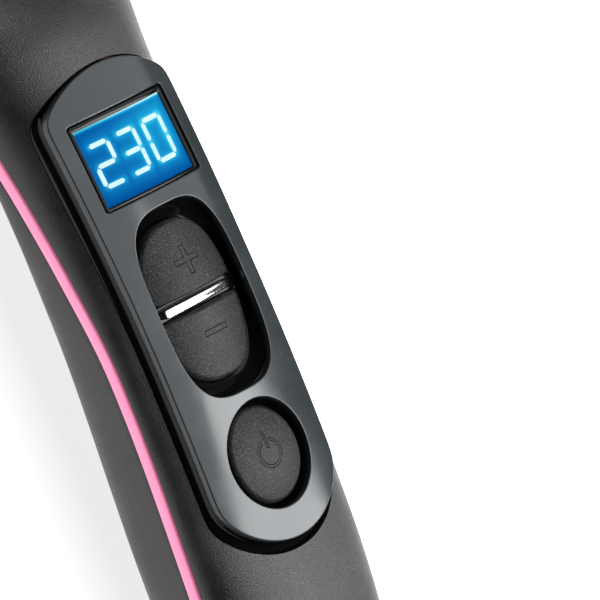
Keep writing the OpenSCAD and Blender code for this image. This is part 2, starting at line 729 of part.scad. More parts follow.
// Where a flange that reaches x and l to each side of y clears the underside of the base
function flange_z(y, x, l) =
    min(under_z(x, y + l), under_z(x, y - l)) - clear - flange_h;
module button_stem(y, top) {
    z0 = board_top + switch_h + nub_h + stem_gap;
    translate([0, y, z0]) cylinder(d = 4, h = top + 0.5 - z0);
}
rocker_flange_w = button_w / 2 + flange_out;
rocker_flange_l = 3.4;
module rocker_button(s) {
    y = button_mid(s);
    low = flange_z(y, rocker_flange_w, rocker_flange_l);
    color(soft_black) {
        intersection() {
            translate([0, 0, low]) linear_extrude(panel_top) intersection() {
                rocker_hole(0);
                translate([-well_w, rocker_y + s * (well_l / 2 + web / 2 + gap) - well_l / 2])
                    square([2 * well_w, well_l]);
            }
            below_crown(rocker_y, panel_z(rocker_y) - rocker_drop, rocker_along, rocker_across, 20);
        }
        translate([-rocker_flange_w, y - rocker_flange_l, low])
            cube([2 * rocker_flange_w, 2 * rocker_flange_l, flange_h]);
        button_stem(y, low);
    }
}
module plus_button() { rocker_button(1); }
module minus_button() { rocker_button(-1); }
module power_button() {
    r = power_d / 2 + flange_out;
    low = flange_z(power_y, r / 2, r);
    color(soft_black) {
        intersection() {
            translate([0, power_y, low]) cylinder(d = power_d, h = panel_top - low);
            translate([0, power_y, panel_z(power_y) - power_drop - power_crown])
                sphere(power_crown, $fn = 180);
        }
        translate([0, power_y, low]) cylinder(r = r, h = flange_h);
        button_stem(power_y, low);
    }
}

// ---- control board
switch_spots = [button_mid(1), button_mid(-1), power_y];
board_w = panel_w - 1.2;
board_y0 = panel_end - panel_l + 5;
board_l = panel_l - 8;
module tact_switches() {
    color(steel)
        for (y = switch_spots) {
            translate([-switch_w / 2, y - switch_w / 2, board_top])
                cube([switch_w, switch_w, switch_h]);
            translate([0, y, board_top + switch_h - 0.2]) cylinder(d = 3.4, h = nub_h + 0.2);
        }
}
module control_board() {
    color(board_green) difference() {
        translate([-board_w / 2, board_y0, board_z]) cube([board_w, board_l, board_t]);
        for (p = post_spots)
            translate([p[0], p[1], board_z - over]) cylinder(d = 2, h = board_t + 2 * over, $fn = 24);
    }
}
module board_chips() {
    color(gloss_black) {
        translate([-4, power_y + 9, board_top]) cube([8, 8, 1.2]);
        translate([6.5, display_y - 15.5, board_top]) cube([4, 5, 1.5]);
        translate([-10.5, display_y - 15.5, board_top]) cube([4, 5, 1.5]);
        translate([-5, board_y0 + 1, board_top]) cube([10, 4.5, 5]);
    }
}
module board_screws() {
    color(steel)
        for (p = post_spots) translate([p[0], p[1], board_z]) {
            translate([0, 0, -1.2]) cylinder(d = 3.2, h = 1.2, $fn = 24);
            cylinder(d = 1.6, h = board_t + 4, $fn = 24);
        }
}

// ---- power board in the belly of the handle
power_t = 1.6;
power_top = power_z + power_t;
module power_board() {
    color(board_green)
        translate([-power_w2, power_y0, power_z]) cube([2 * power_w2, power_l2, power_t]);
}
module smoothing_capacitor() {
    color("navy") translate([-3.4, power_y0 + 6, power_top + 3.6]) rotate([-90, 0, 0])
        cylinder(d = 7.2, h = 14);
}
module triac() {
    color(gloss_black) translate([1.6, power_y0 + 24, power_top]) cube([5, 10.2, 4.5]);
    color(steel) translate([3.1, power_y0 + 34.2, power_top + 1]) cube([2, 6, 1.3]);
}
module varistor() {
    color("orange") translate([-4.4, power_y0 + 38, power_top + 3.5]) rotate([0, 90, 0])
        cylinder(d = 7, h = 3.6);
}

// ---- heater under the plate
strip_t = 2.4;
strip_w = clamp_x - 7;
strip_half = strip_w + 2;         // from the middle to the strips' outer edge
heater_x = strip_half - strip_w / 2;
sheet_t = 0.5;
clamp_z = plate_z - clamp_boss - 1;
module heater_strips() {
    color(steel)
        for (s = [-1, 1])
            translate([s * heater_x - strip_w / 2, row_c - strip_l / 2, plate_z - strip_t])
                cube([strip_w, strip_l, strip_t]);
}
module insulation_sheet() {
    color(mica)
        translate([-strip_half - 0.4, row_c - strip_l / 2, plate_z - strip_t - sheet_t])
            cube([2 * strip_half + 0.8, strip_l, sheet_t]);
}
clamp_top = plate_z - strip_t - sheet_t;
module clamp_slab(w, l, z0, z1) {
    translate([-w, row_c - l, z0]) cube([2 * w, 2 * l, z1 - z0]);
}
module clamp_plate() {
    color(steel) difference() {
        union() {
            clamp_slab(clamp_x + 3, strip_l / 2 + 2, clamp_z, clamp_z + 1);
            clamp_slab(strip_half, strip_l / 2 - 2, clamp_z + 0.5, clamp_top);
        }
        clamp_slab(strip_half - 1, strip_l / 2 - 3, clamp_z - over, clamp_top - over);
        for (p = clamp_spots)
            translate([p[0], p[1], clamp_z - over]) cylinder(d = 2.4, h = 4, $fn = 24);
    }
}
module clamp_screws() {
    color(steel)
        for (p = clamp_spots) translate([p[0], p[1], clamp_z]) {
            translate([0, 0, -1.3]) cylinder(d = 4, h = 1.3, $fn = 24);
            cylinder(d = 2, h = 5, $fn = 24);
        }
}
module thermistor() {
    color(brass) translate([-1.8, row_c - strip_l / 2 - 6, plate_z - 2]) cube([3.6, 5, 2]);
}
module thermal_fuse() {
    color("tan") translate([0, row_c + strip_l / 2 + 4.5, plate_z - 2]) rotate([0, 90, 0])
        translate([0, 0, -6]) cylinder(d = 4, h = 12);
}
module heat_shield() {
    color(mica) translate([-shield_w / 2, shield_y0, shield_z]) cube([shield_w, shield_l, 0.8]);
}

// ---- wiring: round leads along a few chosen points
function unit(v) = v / norm(v);
// The lead's points with each corner rounded off into three
function eased(p, r) =
    concat([p[0]],
           [for (i = [1:len(p) - 2])
               let (u = unit(p[i - 1] - p[i]), v = unit(p[i + 1] - p[i]),
                    c = min(r, norm(p[i - 1] - p[i]) / 2.2, norm(p[i + 1] - p[i]) / 2.2))
               each [p[i] + u * c, p[i] + (u + v) * c * 0.25, p[i] + v * c]],
           [p[len(p) - 1]]);
module lead(d, points) {
    p = eased(points, 3 * d);
    n = len(p) - 1;
    sides = 8;
    rings = [for (i = [0:n])
        let (t = unit((i < n ? unit(p[i + 1] - p[i]) : [0, 0, 0])
                      + (i > 0 ? unit(p[i] - p[i - 1]) : [0, 0, 0])),
             u = unit(cross(t, [1, 0.05, 0])), w = cross(t, u))
        [for (k = [0:sides - 1])
            let (a = 360 * k / sides) p[i] + (u * cos(a) + w * sin(a)) * d / 2]];
    walls = [for (i = [0:n - 1], k = [0:sides - 1], f = [0, 1])
        let (a = i * sides + k, b = i * sides + (k + 1) % sides)
        f == 0 ? [a, a + sides, b + sides] : [a, b + sides, b]];
    polyhedron(points = [for (r = rings) each r],
               faces = concat(walls, [[for (k = [0:sides - 1]) k]],
                              [[for (k = [sides - 1:-1:0]) n * sides + k]]));
}
lead_z = plate_z - 1.4;
module heater_leads() {
    for (s = [-1, 1])
        color(s > 0 ? "firebrick" : "dimgray")
            lead(1.6, [[s * heater_x, row_c - strip_l / 2, lead_z], [s * heater_x, head_y0 + 14, lead_z],
                       [s * 7, head_y0 - 4, 15], [s * 6, panel_end + 2, 15.6],
                       [s * 6, panel_end - 30, 15.6], [s * 6, power_y0 + power_l2 - 3, 14],
                       [s * 6, power_y0 + power_l2 - 3, power_top]]);
}
module supply_leads() {
    for (s = [-1, 1])
        color("dimgray")
            lead(1.6, [[s * 3, contact_y0 + contact_l, power_z - 2],
                       [s * 3, power_y0 + 4, power_z - 2], [s * 3, power_y0 + 4, power_z]]);
}
module board_leads() {
    for (k = [0:2])
        color(["gold", "silver", "seagreen"][k])
            lead(1, [for (p = [[0, board_z], [0, board_z - 2], [1.5, 14.8], [0, power_top + 2],
                               [0, power_top]])
                        [3 * k - 3, power_y0 + 45 + p[0], p[1]]]);
}
module casing_screws() {
    color(steel) each_bolt(all_bolts) {
        translate([0, 0, -head_h]) cylinder(d = screw_head, h = head_h);
        cylinder(d = screw_d, h = screw_l);
    }
}

// ---- swivel, its bush and contacts
module tail_bush() {
    color(gloss_black) along_y(tail_y) difference() {
        union() {
            translate([0, 0, -collar_out]) cylinder(d = collar_d, h = collar_l + collar_out - fit);
            cylinder(d = bush_d, h = bush_l);
        }
        translate([0, 0, -collar_out - over])
            cylinder(d = swivel_d + 2 * run_fit, h = bush_l + collar_out + 2 * over);
    }
}
core_d = 6.4;
core_l = 19;
flange_l = 1.8;
swivel_y0 = -total_l / 2;
swivel_in = tail_y + bush_l + clear + flange_l - swivel_y0;
bore_l = 18;
module cord_swivel() {
    color(soft_black) along_y(swivel_y0) difference() {
        union() {
            cylinder(d1 = swivel_d - 1.6, d2 = swivel_d, h = 3);
            translate([0, 0, 3]) cylinder(d = swivel_d, h = swivel_in - 3);
            translate([0, 0, swivel_in - flange_l])
                cylinder(d = bush_d - 0.6, h = flange_l);
            translate([0, 0, swivel_in]) cylinder(d = core_d, h = core_l);
        }
        translate([0, 0, -over]) cylinder(d = cord_bore, h = bore_l + over);
    }
}
ring_spots = [swivel_in + 4, swivel_in + 12];
ring_l = 3.6;
ring_d = 9;
module slip_rings() {
    color(brass) along_y(swivel_y0)
        for (z = ring_spots) translate([0, 0, z]) difference() {
            cylinder(d = ring_d, h = ring_l);
            translate([0, 0, -over]) cylinder(d = core_d + 0.04, h = ring_l + 2 * over);
        }
}
contact_w = 12.6;
contact_y0 = swivel_y0 + swivel_in + 2.5;
contact_l = 15;
contact_z0 = low_z(contact_y0) + wall + 1;
contact_z1 = swivel_z - ring_d / 2 - 2.4;
module contact_block() {
    color(mica) translate([-contact_w / 2, contact_y0, contact_z0])
        cube([contact_w, contact_l, contact_z1 - contact_z0]);
}
module contact_springs() {
    t = 0.4;
    rise = swivel_z - ring_d / 2 - clear - t - contact_z1;
    bow = [for (i = [0:12]) let (u = i / 6 - 1) [5 * u, rise * (1 - u * u)]];
    color(brass)
        for (z = ring_spots)
            translate([0, swivel_y0 + z + ring_l / 2 + 1.2, contact_z1]) rotate([90, 0, 0])
                linear_extrude(2.4)
                    polygon(concat(bow, [for (i = [12:-1:0]) bow[i] + [0, t]]));
}

upper_casing();
lower_casing();
trim_band();
comb_frame();
heating_plate();
ball_tips();
panel_base();
fascia();
divider_bar();
display_window();
display_glass();
backlight();
display_holder();
plus_button();
minus_button();
power_button();
tact_switches();
control_board();
board_chips();
board_screws();
power_board();
smoothing_capacitor();
triac();
varistor();
heater_strips();
insulation_sheet();
clamp_plate();
clamp_screws();
thermistor();
thermal_fuse();
heat_shield();
heater_leads();
supply_leads();
board_leads();
casing_screws();
tail_bush();
cord_swivel();
slip_rings();
contact_block();
contact_springs();
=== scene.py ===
import math
import bpy
import bmesh
from mathutils import Matrix, Vector


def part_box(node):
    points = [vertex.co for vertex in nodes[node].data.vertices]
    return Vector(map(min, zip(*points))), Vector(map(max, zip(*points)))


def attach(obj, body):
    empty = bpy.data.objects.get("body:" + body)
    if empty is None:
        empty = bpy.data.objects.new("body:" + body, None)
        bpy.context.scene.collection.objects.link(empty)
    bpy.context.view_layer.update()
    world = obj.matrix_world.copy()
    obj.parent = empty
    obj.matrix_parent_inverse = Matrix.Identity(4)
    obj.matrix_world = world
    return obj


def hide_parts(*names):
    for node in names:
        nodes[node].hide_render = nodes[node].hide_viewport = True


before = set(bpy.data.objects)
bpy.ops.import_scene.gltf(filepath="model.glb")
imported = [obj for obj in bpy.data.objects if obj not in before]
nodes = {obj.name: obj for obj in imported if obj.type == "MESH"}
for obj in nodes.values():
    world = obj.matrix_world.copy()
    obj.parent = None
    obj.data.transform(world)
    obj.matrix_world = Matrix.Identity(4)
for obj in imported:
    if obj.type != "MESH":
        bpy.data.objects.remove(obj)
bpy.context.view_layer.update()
print("frame loaded:", len(nodes), "nodes")

mm = 0.001   # every size below is in millimetres, and each mesh is scaled once at the end


# ---- small helpers
def clamp(v, low, high):
    return min(max(v, low), high)


def mix(a, b, t):
    return a + (b - a) * t


def smooth(t):
    u = clamp(t, 0, 1)
    return u * u * (3 - 2 * u)


def superArc(u, power):
    return max(0.0, 1 - abs(u) ** power) ** (1 / power)


def signed(v, power):
    return math.copysign(abs(v) ** power, v)


def curveAt(points, y):
    # smooth curve through [y, value] points
    v = clamp(y, points[0][0], points[-1][0])
    i = 0
    while i < len(points) - 2 and v >= points[i + 1][0]:
        i += 1

    def slope(k):
        a, b = max(k - 1, 0), min(k + 1, len(points) - 1)
        return (points[b][1] - points[a][1]) / (points[b][0] - points[a][0])

    h = points[i + 1][0] - points[i][0]
    t = (v - points[i][0]) / h
    a, b = slope(i) * h, slope(i + 1) * h
    return (points[i][1] * (1 + 2 * t) * (1 - t) ** 2 + a * t * (1 - t) ** 2
            + points[i + 1][1] * t * t * (3 - 2 * t) - b * t * t * (1 - t))


def startLoop(bm, points):
    loop = list(bmesh.ops.create_circle(bm, cap_ends=False, segments=len(points), radius=1)["verts"])
    for vert, point in zip(loop, points):
        vert.co = point
    return loop


def edgesOf(bm, loop):
    return [bm.edges.get((a, b)) for a, b in zip(loop, loop[1:] + loop[:1])]


def nextLoop(bm, loop, points):
    # draws a loop's edges out to new places
    made = bmesh.ops.extrude_edge_only(bm, edges=edgesOf(bm, loop))["geom"]
    fresh = {g for g in made if isinstance(g, bmesh.types.BMVert)}
    grown = [next(e.other_vert(v) for e in v.link_edges if e.other_vert(v) in fresh) for v in loop]
    for vert, point in zip(grown, points):
        vert.co = point
    return grown


def stack(bm, loops):
    # an open tube through the loops, handed back as its first and last loop
    first = last = startLoop(bm, loops[0])
    for points in loops[1:]:
        last = nextLoop(bm, last, points)
    return first, last


def closedStack(bm, loops):
    for end in stack(bm, loops):
        bmesh.ops.contextual_create(bm, geom=edgesOf(bm, end))


def ringStack(bm, loops):
    # a tube whose last loop closes on its first
    stack(bm, loops + loops[:1])


def circleAt(x, y, z, r, count=24):
    return [(x + r * math.cos(2 * math.pi * i / count), y + r * math.sin(2 * math.pi * i / count), z)
            for i in range(count)]


def weld(bm, distance=0.002):
    bmesh.ops.remove_doubles(bm, verts=bm.verts, dist=distance)
    bmesh.ops.dissolve_degenerate(bm, edges=bm.edges, dist=0.0005)
    bmesh.ops.recalc_face_normals(bm, faces=bm.faces)


def toObject(name, bm):
    bmesh.ops.scale(bm, vec=(mm, mm, mm), verts=bm.verts)
    mesh = bpy.data.meshes.new(name)
    bm.to_mesh(mesh)
    bm.free()
    piece = bpy.data.objects.new(name, mesh)
    bpy.context.scene.collection.objects.link(piece)
    return piece


def shade(piece, angle=35):
    mesh = piece.data
    mesh.polygons.foreach_set("use_smooth", [True] * len(mesh.polygons))
    mesh.set_sharp_from_angle(angle=math.radians(angle))
    mesh.update()


def finishPiece(piece, body, materials, replaced=(), angle=35):
    shade(piece, angle)
    for material in materials:
        piece.data.materials.append(material)
    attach(piece, body)
    if replaced:
        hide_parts(*replaced)
    print("made", piece.name, len(piece.data.polygons), "faces")
    return piece


def cutAway(piece, cutter, selfCrossing=False):
    cut = piece.modifiers.new("cut", "BOOLEAN")
    cut.object = cutter
    cut.operation = "DIFFERENCE"
    cut.solver = "EXACT"
    cut.use_self = selfCrossing
    shown = piece.evaluated_get(bpy.context.evaluated_depsgraph_get())
    mesh = bpy.data.meshes.new_from_object(shown)
    piece.modifiers.clear()
    old = piece.data
    piece.data = mesh
    mesh.name = piece.name
    bpy.data.meshes.remove(old)
    spare = cutter.data
    bpy.data.objects.remove(cutter)
    bpy.data.meshes.remove(spare)


# ---- material helpers
def effectGroup(name, inputs, outputs):
    group = bpy.data.node_groups.new(name, "ShaderNodeTree")
    for label, default in inputs:
        socket = group.interface.new_socket(name=label, in_out="INPUT", socket_type="NodeSocketFloat")
        socket.default_value = default
    for label in outputs:
        group.interface.new_socket(name=label, in_out="OUTPUT", socket_type="NodeSocketFloat")
    return group, group.nodes.new("NodeGroupInput"), group.nodes.new("NodeGroupOutput")


def mathNode(tree, operation, a, b=None, c=None):
    node = tree.nodes.new("ShaderNodeMath")
    node.operation = operation
    for slot, value in zip(node.inputs, (a, b, c)):
        if value is None:
            continue
        if isinstance(value, (int, float)):
            slot.default_value = value
        else:
            tree.links.new(value, slot)
    return node.outputs[0]


def rampNode(tree, factor, stops):
    ramp = tree.nodes.new("ShaderNodeValToRGB")
    elements = ramp.color_ramp.elements
    elements[0].position, elements[0].color = stops[0][0], (*stops[0][1], 1)
    elements[1].position, elements[1].color = stops[-1][0], (*stops[-1][1], 1)
    for place, color in stops[1:-1]:
        elements.new(place).color = (*color, 1)
    tree.links.new(factor, ramp.inputs[0])
    return ramp.outputs[0]


def rangeNode(tree, value, fromLow, fromHigh, toLow, toHigh, soft=True):
    node = tree.nodes.new("ShaderNodeMapRange")
    node.interpolation_type = "SMOOTHSTEP" if soft else "LINEAR"
    tree.links.new(value, node.inputs["Value"])
    for label, number in (("From Min", fromLow), ("From Max", fromHigh), ("To Min", toLow), ("To Max", toHigh)):
        node.inputs[label].default_value = number
    return node.outputs["Result"]


def noiseNode(tree, vector, size, detail=2.0, roughness=0.5):
    node = tree.nodes.new("ShaderNodeTexNoise")
    node.inputs["Scale"].default_value = 1 / (size * mm)
    node.inputs["Detail"].default_value = detail
    node.inputs["Roughness"].default_value = roughness
    tree.links.new(vector, node.inputs["Vector"])
    return node.outputs["Fac"]


def baseMaterial(name, **values):
    material = bpy.data.materials.new(name)
    material.use_nodes = True
    tree = material.node_tree
    shader = next(n for n in tree.nodes if n.type == "BSDF_PRINCIPLED")
    for label, value in values.items():
        shader.inputs[label.replace("_", " ")].default_value = value
    place = tree.nodes.new("ShaderNodeTexCoord").outputs["Object"]
    return material, tree, shader, place


def bumpOn(tree, shader, height, depth, strength=1.0):
    bump = tree.nodes.new("ShaderNodeBump")
    bump.inputs["Strength"].default_value = strength
    bump.inputs["Distance"].default_value = depth * mm
    tree.links.new(height, bump.inputs["Height"])
    tree.links.new(bump.outputs["Normal"], shader.inputs["Normal"])
    return bump


def mixColor(tree, factor, first, second, kind="MIX"):
    # factor, first and second are sockets or fixed values
    node = tree.nodes.new("ShaderNodeMix")
    node.data_type = "RGBA"
    node.blend_type = kind
    for label, value in (("Factor", factor), ("A", first), ("B", second)):
        if isinstance(value, bpy.types.NodeSocket):
            tree.links.new(value, node.inputs[label])
        else:
            node.inputs[label].default_value = value if label == "Factor" else (*value, 1)
    return node.outputs["Result"]


def placeGroup(tree, group, **values):
    node = tree.nodes.new("ShaderNodeGroup")
    node.node_tree = group
    for label, value in values.items():
        node.inputs[label].default_value = value
    return node


def makeGrainGroup():
    # fine moulded grain with rare larger lumps
    group, into, out = effectGroup("moulded grain", [("Grain", 4000.0), ("Lumps", 0.3)],
                                   ["Height", "Speck", "Patch"])
    place = group.nodes.new("ShaderNodeTexCoord").outputs["Object"]
    fine = group.nodes.new("ShaderNodeTexNoise")
    fine.inputs["Detail"].default_value = 3.0
    group.links.new(place, fine.inputs["Vector"])
    group.links.new(into.outputs["Grain"], fine.inputs["Scale"])
    cells = group.nodes.new("ShaderNodeTexVoronoi")
    group.links.new(place, cells.inputs["Vector"])
    group.links.new(mathNode(group, "MULTIPLY", into.outputs["Grain"], 0.6), cells.inputs["Scale"])
    patch = noiseNode(group, place, 9.0, 4.0)
    height = mathNode(group, "MULTIPLY_ADD", cells.outputs["Distance"], into.outputs["Lumps"], fine.outputs["Fac"])
    group.links.new(height, out.inputs["Height"])
    group.links.new(rangeNode(group, fine.outputs["Fac"], 0.56, 0.7, 0, 1), out.inputs["Speck"])
    group.links.new(patch, out.inputs["Patch"])
    return group


def makeSmudgeGroup():
    # slow changes of gloss, as on a handled surface
    group, into, out = effectGroup("handled gloss", [("Size", 60.0)], ["Smudge", "Dust"])
    place = group.nodes.new("ShaderNodeTexCoord").outputs["Object"]
    slow = group.nodes.new("ShaderNodeTexNoise")
    slow.inputs["Detail"].default_value = 5.0
    slow.inputs["Roughness"].default_value = 0.6
    group.links.new(place, slow.inputs["Vector"])
    group.links.new(into.outputs["Size"], slow.inputs["Scale"])
    group.links.new(rangeNode(group, slow.outputs["Fac"], 0.35, 0.7, 0, 1), out.inputs["Smudge"])
    speck = noiseNode(group, place, 0.35, 1.0)
    group.links.new(rangeNode(group, speck, 0.7, 0.78, 0, 1), out.inputs["Dust"])
    return group


def makeBoxGroup():
    # distance from a rectangle on the XY plane, in millimetres, below zero inside
    group, into, out = effectGroup("box distance", [("MidX", 0.0), ("MidY", 0.0), ("HalfX", 1.0), ("HalfY", 1.0)],
                                   ["Distance"])
    place = group.nodes.new("ShaderNodeSeparateXYZ")
    group.links.new(group.nodes.new("ShaderNodeTexCoord").outputs["Object"], place.inputs[0])
    sides = []
    for axis in "XY":
        scaled = mathNode(group, "MULTIPLY", place.outputs[axis], 1 / mm)
        away = mathNode(group, "ABSOLUTE", mathNode(group, "SUBTRACT", scaled, into.outputs["Mid" + axis]))
        sides.append(mathNode(group, "SUBTRACT", away, into.outputs["Half" + axis]))
    group.links.new(mathNode(group, "MAXIMUM", sides[0], sides[1]), out.inputs["Distance"])
    return group


grainGroup = makeGrainGroup()
smudgeGroup = makeSmudgeGroup()
boxGroup = makeBoxGroup()


def grainedPlastic(name, color, lift, roughness, grain, depth, lumps=0.3, speck=0.5, **values):
    # moulded plastic or rubber: two tones, lighter specks painted into the colour as glints of light, and a fine bump
    material, tree, shader, _ = baseMaterial(name, **values)
    look = placeGroup(tree, grainGroup, Grain=1 / (grain * mm), Lumps=lumps)
    wide = rampNode(tree, look.outputs["Patch"], [(0.3, color), (0.7, [mix(c, l, 0.35) for c, l in zip(color, lift)])])
    # painted highlight: the lighter specks stand in for glints on the grain
    specks = mathNode(tree, "MULTIPLY", look.outputs["Speck"], speck)
    tree.links.new(mixColor(tree, specks, wide, lift), shader.inputs["Base Color"])
    tree.links.new(rangeNode(tree, look.outputs["Patch"], 0.3, 0.7, roughness - 0.05, roughness + 0.06),
                   shader.inputs["Roughness"])
    bumpOn(tree, shader, look.outputs["Height"], depth)
    return material


def glossPlastic(name, color, lift, roughness, ripple=0.004, **values):
    # smooth gloss with slow changes, a little dust and a faint ripple
    material, tree, shader, place = baseMaterial(name, **values)
    look = placeGroup(tree, smudgeGroup, Size=45.0)
    tone = rampNode(tree, look.outputs["Smudge"], [(0.0, color), (1.0, lift)])
    tree.links.new(tone, shader.inputs["Base Color"])
    worn = mathNode(tree, "MULTIPLY_ADD", look.outputs["Dust"], 0.25,
                    rangeNode(tree, look.outputs["Smudge"], 0, 1, roughness, roughness * 1.5 + 0.01))
    tree.links.new(worn, shader.inputs["Roughness"])
    bumpOn(tree, shader, noiseNode(tree, place, 6.0, 1.0), ripple)
    return material


# ---- the casing's form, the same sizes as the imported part
casing = dict(
    tailY=-129.5, tipY=137.25, tailR=14, noseR=34.5, headMid=86.75, headBack=36.25, crownY=-51.15,
    halfHead=34.5, frontL=50.5, backL=49.5, nosePower=2.6, backPower=3, tailPower=2.4,
    upperPowers=(2.1, 8), lowerPowers=(2.5, 2.9), wall=2.2, trimH=3.0, trimProud=0.25, edgeR=0.3, station=2.2)
planCurve = [(-141.5, 13.9), (-129.5, 15.5), (-105.15, 18.5), (-81.15, 18.9), (-51.15, 18.5),
             (-10.25, 18.5), (3.75, 19.5), (15.75, 21.4), (29.25, 25.5), (39.25, 29.1),
             (49.75, 31.3), (64.25, 34.0), (86.75, 34.5)]
partCurve = [(-129.5, 17), (-85.15, 23.2), (-45.15, 25.4), (-25.25, 22.9), (-2.25, 18.6),
             (19.75, 15.6), (44.25, 13.6), (86.75, 13.5), (137.25, 13.5)]
topCurve = [(-129.5, 25), (-116.5, 28.4), (-96.5, 31.2), (-84.15, 32.4), (-51.15, 33), (-12.25, 32.3),
            (7.75, 31.1), (15.75, 30.1), (26.25, 25.46), (35.25, 20.91), (40.25, 20), (137.25, 20)]
lowCurve = [(-129.5, 6.5), (-113.5, 2.2), (-101.15, -0.3), (-84.15, -0.5), (-65.15, 1), (-45.15, 3.4),
            (-26.25, 5.6), (-4.25, 8.4), (13.75, 9.8), (28.25, 7.4), (44.25, 3.2), (60.25, 0.3),
            (74.75, -0.5), (100.75, -0.5), (121.25, 0.8), (137.25, 3.4)]


def halfWidth(y):
    c = casing
    if y > c["headMid"]:
        return c["halfHead"] * superArc((y - c["headMid"]) / c["frontL"], c["nosePower"])
    return curveAt(planCurve, y) * superArc(max(0, c["tailY"] + c["tailR"] - y) / c["tailR"], c["tailPower"])


def inHead(y):
    return smooth((y - casing["headBack"] + 18) / 22)


def casingOutline(inset):
    c = casing
    a0, a1 = c["tailY"] + c["tailR"], c["tipY"] - c["noseR"]
    n = math.ceil((a1 - a0) / c["station"])
    ys = [c["tailY"] + c["tailR"] * (1 - math.cos(math.radians(a))) for a in range(0, 90, 6)]
    ys += [mix(a0, a1, i / n) for i in range(n + 1)]
    ys += [c["tipY"] - c["noseR"] * (1 - math.cos(math.radians(a))) for a in range(86, -1, -4)]
    ws = [halfWidth(y) for y in ys]
    last = len(ys) - 1
    side = []
    for i, (w, y) in enumerate(zip(ws, ys)):
        a = Vector((-ws[1], ys[1])) if i == 0 else Vector((ws[i - 1], ys[i - 1]))
        b = Vector((-ws[last - 1], ys[last - 1])) if i == last else Vector((ws[i + 1], ys[i + 1]))
        d = (b - a).normalized()
        side.append((0 if i in (0, last) else w - inset * d.y, y + inset * d.x))
    return side + [(-x, y) for x, y in side[-2:0:-1]]


def drawnLoop(outline, t, height):
    # the outline drawn in towards the spine by the share t
    c = casing
    points = []
    for x, y in outline:
        mid = clamp(y, c["tailY"] + c["tailR"], c["tipY"] - c["noseR"])
        points.append((x * (1 - t), mid + (y - mid) * (1 - t), height(mix(y, mid, t * t), t)))
    return points


def undersideZ(x, y):
    # the lower casing's outer surface
    base = curveAt(partCurve, y) - casing["trimH"] / 2
    across = clamp(abs(x) / halfWidth(y), 0, 1)
    power = mix(*casing["lowerPowers"], inHead(y))
    return max(base + (curveAt(lowCurve, y) - base) * superArc(across, power), 0.0)


drawSteps = [0.0006, 0.002, 0.0045] + [1 - math.cos(math.radians(a)) for a in range(8, 90, 6)] + [1.0]


def casingShell(side):
    # side 1 is the upper half and -1 the lower
    c = casing
    curve, powers = (topCurve, c["upperPowers"]) if side > 0 else (lowCurve, c["lowerPowers"])

    def dome(inset):
        def height(y, t):
            base = curveAt(partCurve, y) + side * c["trimH"] / 2
            z = base + (curveAt(curve, y) - side * inset - base) * superArc(1 - t, mix(*powers, inHead(y)))
            return max(z, 0.0) if side < 0 else z
        return height

    def rim(lift):
        return lambda y, t: curveAt(partCurve, y) + side * (c["trimH"] / 2 + lift)

    outer, lip, inner = casingOutline(0), casingOutline(c["edgeR"]), casingOutline(c["wall"])
    shell = [drawnLoop(outer, t, dome(0)) for t in reversed(drawSteps)]
    shell += [drawnLoop(outer, 0, rim(c["edgeR"])),
              drawnLoop(casingOutline(c["edgeR"] * 0.3), 0, rim(c["edgeR"] * 0.3)),
              drawnLoop(lip, 0, rim(0)), drawnLoop(inner, 0, rim(0))]
    shell += [drawnLoop(inner, t, dome(c["wall"])) for t in drawSteps[2::2] + [1.0]]
    bm = bmesh.new()
    stack(bm, shell)
    weld(bm)
    return bm


print("casing form ready")

# ---- the panel's form
panel = dict(
    top=35.6, w=28.8, end=7.75, mid=-37.75, flare=0.5, arch=5.9, foot=9.5, length=91.0, ledge=1.0, footLedge=1.9,
    crownLong=450.0, crownCross=55.0, fasciaT=1.4, stepH=1.5, depth=5.7,
    displayY=-8.65, lcdW=23.0, lcdL=16.2, rockerY=-37.45, wellW=21.2, wellL=35.6, wellPower=3.3,
    powerY=-67.45, powerW=18.4, powerL=20.0)


def panelZ(y):
    return panel["top"] - panel["crownLong"] + math.sqrt(panel["crownLong"] ** 2 - (y - casing["crownY"]) ** 2)


def layerZ(x, y, depth=0.0):
    r = panel["crownCross"] - depth
    return panelZ(y) - panel["crownCross"] + math.sqrt(r * r - x * x)


def arcPoints(half, rise, count, apex):
    r = (half * half + rise * rise) / (2 * rise)
    a = math.asin(clamp(half / r, -1, 1))
    turns = [mix(a, -a, i / count) for i in range(count + 1)]
    return [(r * math.sin(t), apex - r + r * math.cos(t)) for t in turns]


def panelOutline(grow, count=180):
    # top arc, waist and foot arc, evened out to short steps with softened corners
    p = panel
    top = arcPoints(p["w"] / 2 + p["flare"] + grow, p["arch"], 40, p["end"] + grow * 0.3)
    foot = arcPoints(p["w"] / 2 + grow, p["foot"], 40, p["length"] - p["end"] + grow * p["footLedge"])
    waist = p["w"] / 2 + grow
    rough = top + [(-waist, p["mid"] + 6)] + [(-x, -y) for x, y in foot] + [(waist, p["mid"] + 6)]
    lengths = [0.0]
    for a, b in zip(rough, rough[1:] + rough[:1]):
        lengths.append(lengths[-1] + math.dist(a, b))
    points = []
    for k in range(count):
        s = lengths[-1] * k / count
        i = max(j for j in range(len(rough)) if lengths[j] <= s)
        a, b = rough[i], rough[(i + 1) % len(rough)]
        f = (s - lengths[i]) / max(lengths[i + 1] - lengths[i], 1e-6)
        points.append((mix(a[0], b[0], f), mix(a[1], b[1], f)))
    for _ in range(3):
        points = [tuple((points[k - 1][i] + 2 * q[i] + points[(k + 1) % count][i]) / 4 for i in (0, 1))
                  for k, q in enumerate(points)]
    return points


def oval(a, b, power, midY, count=96):
    return [(a * signed(math.cos(2 * math.pi * k / count), 2 / power),
             midY + b * signed(math.sin(2 * math.pi * k / count), 2 / power)) for k in range(count)]


squareCorners = ((1, 1), (-1, 1), (-1, -1), (1, -1))


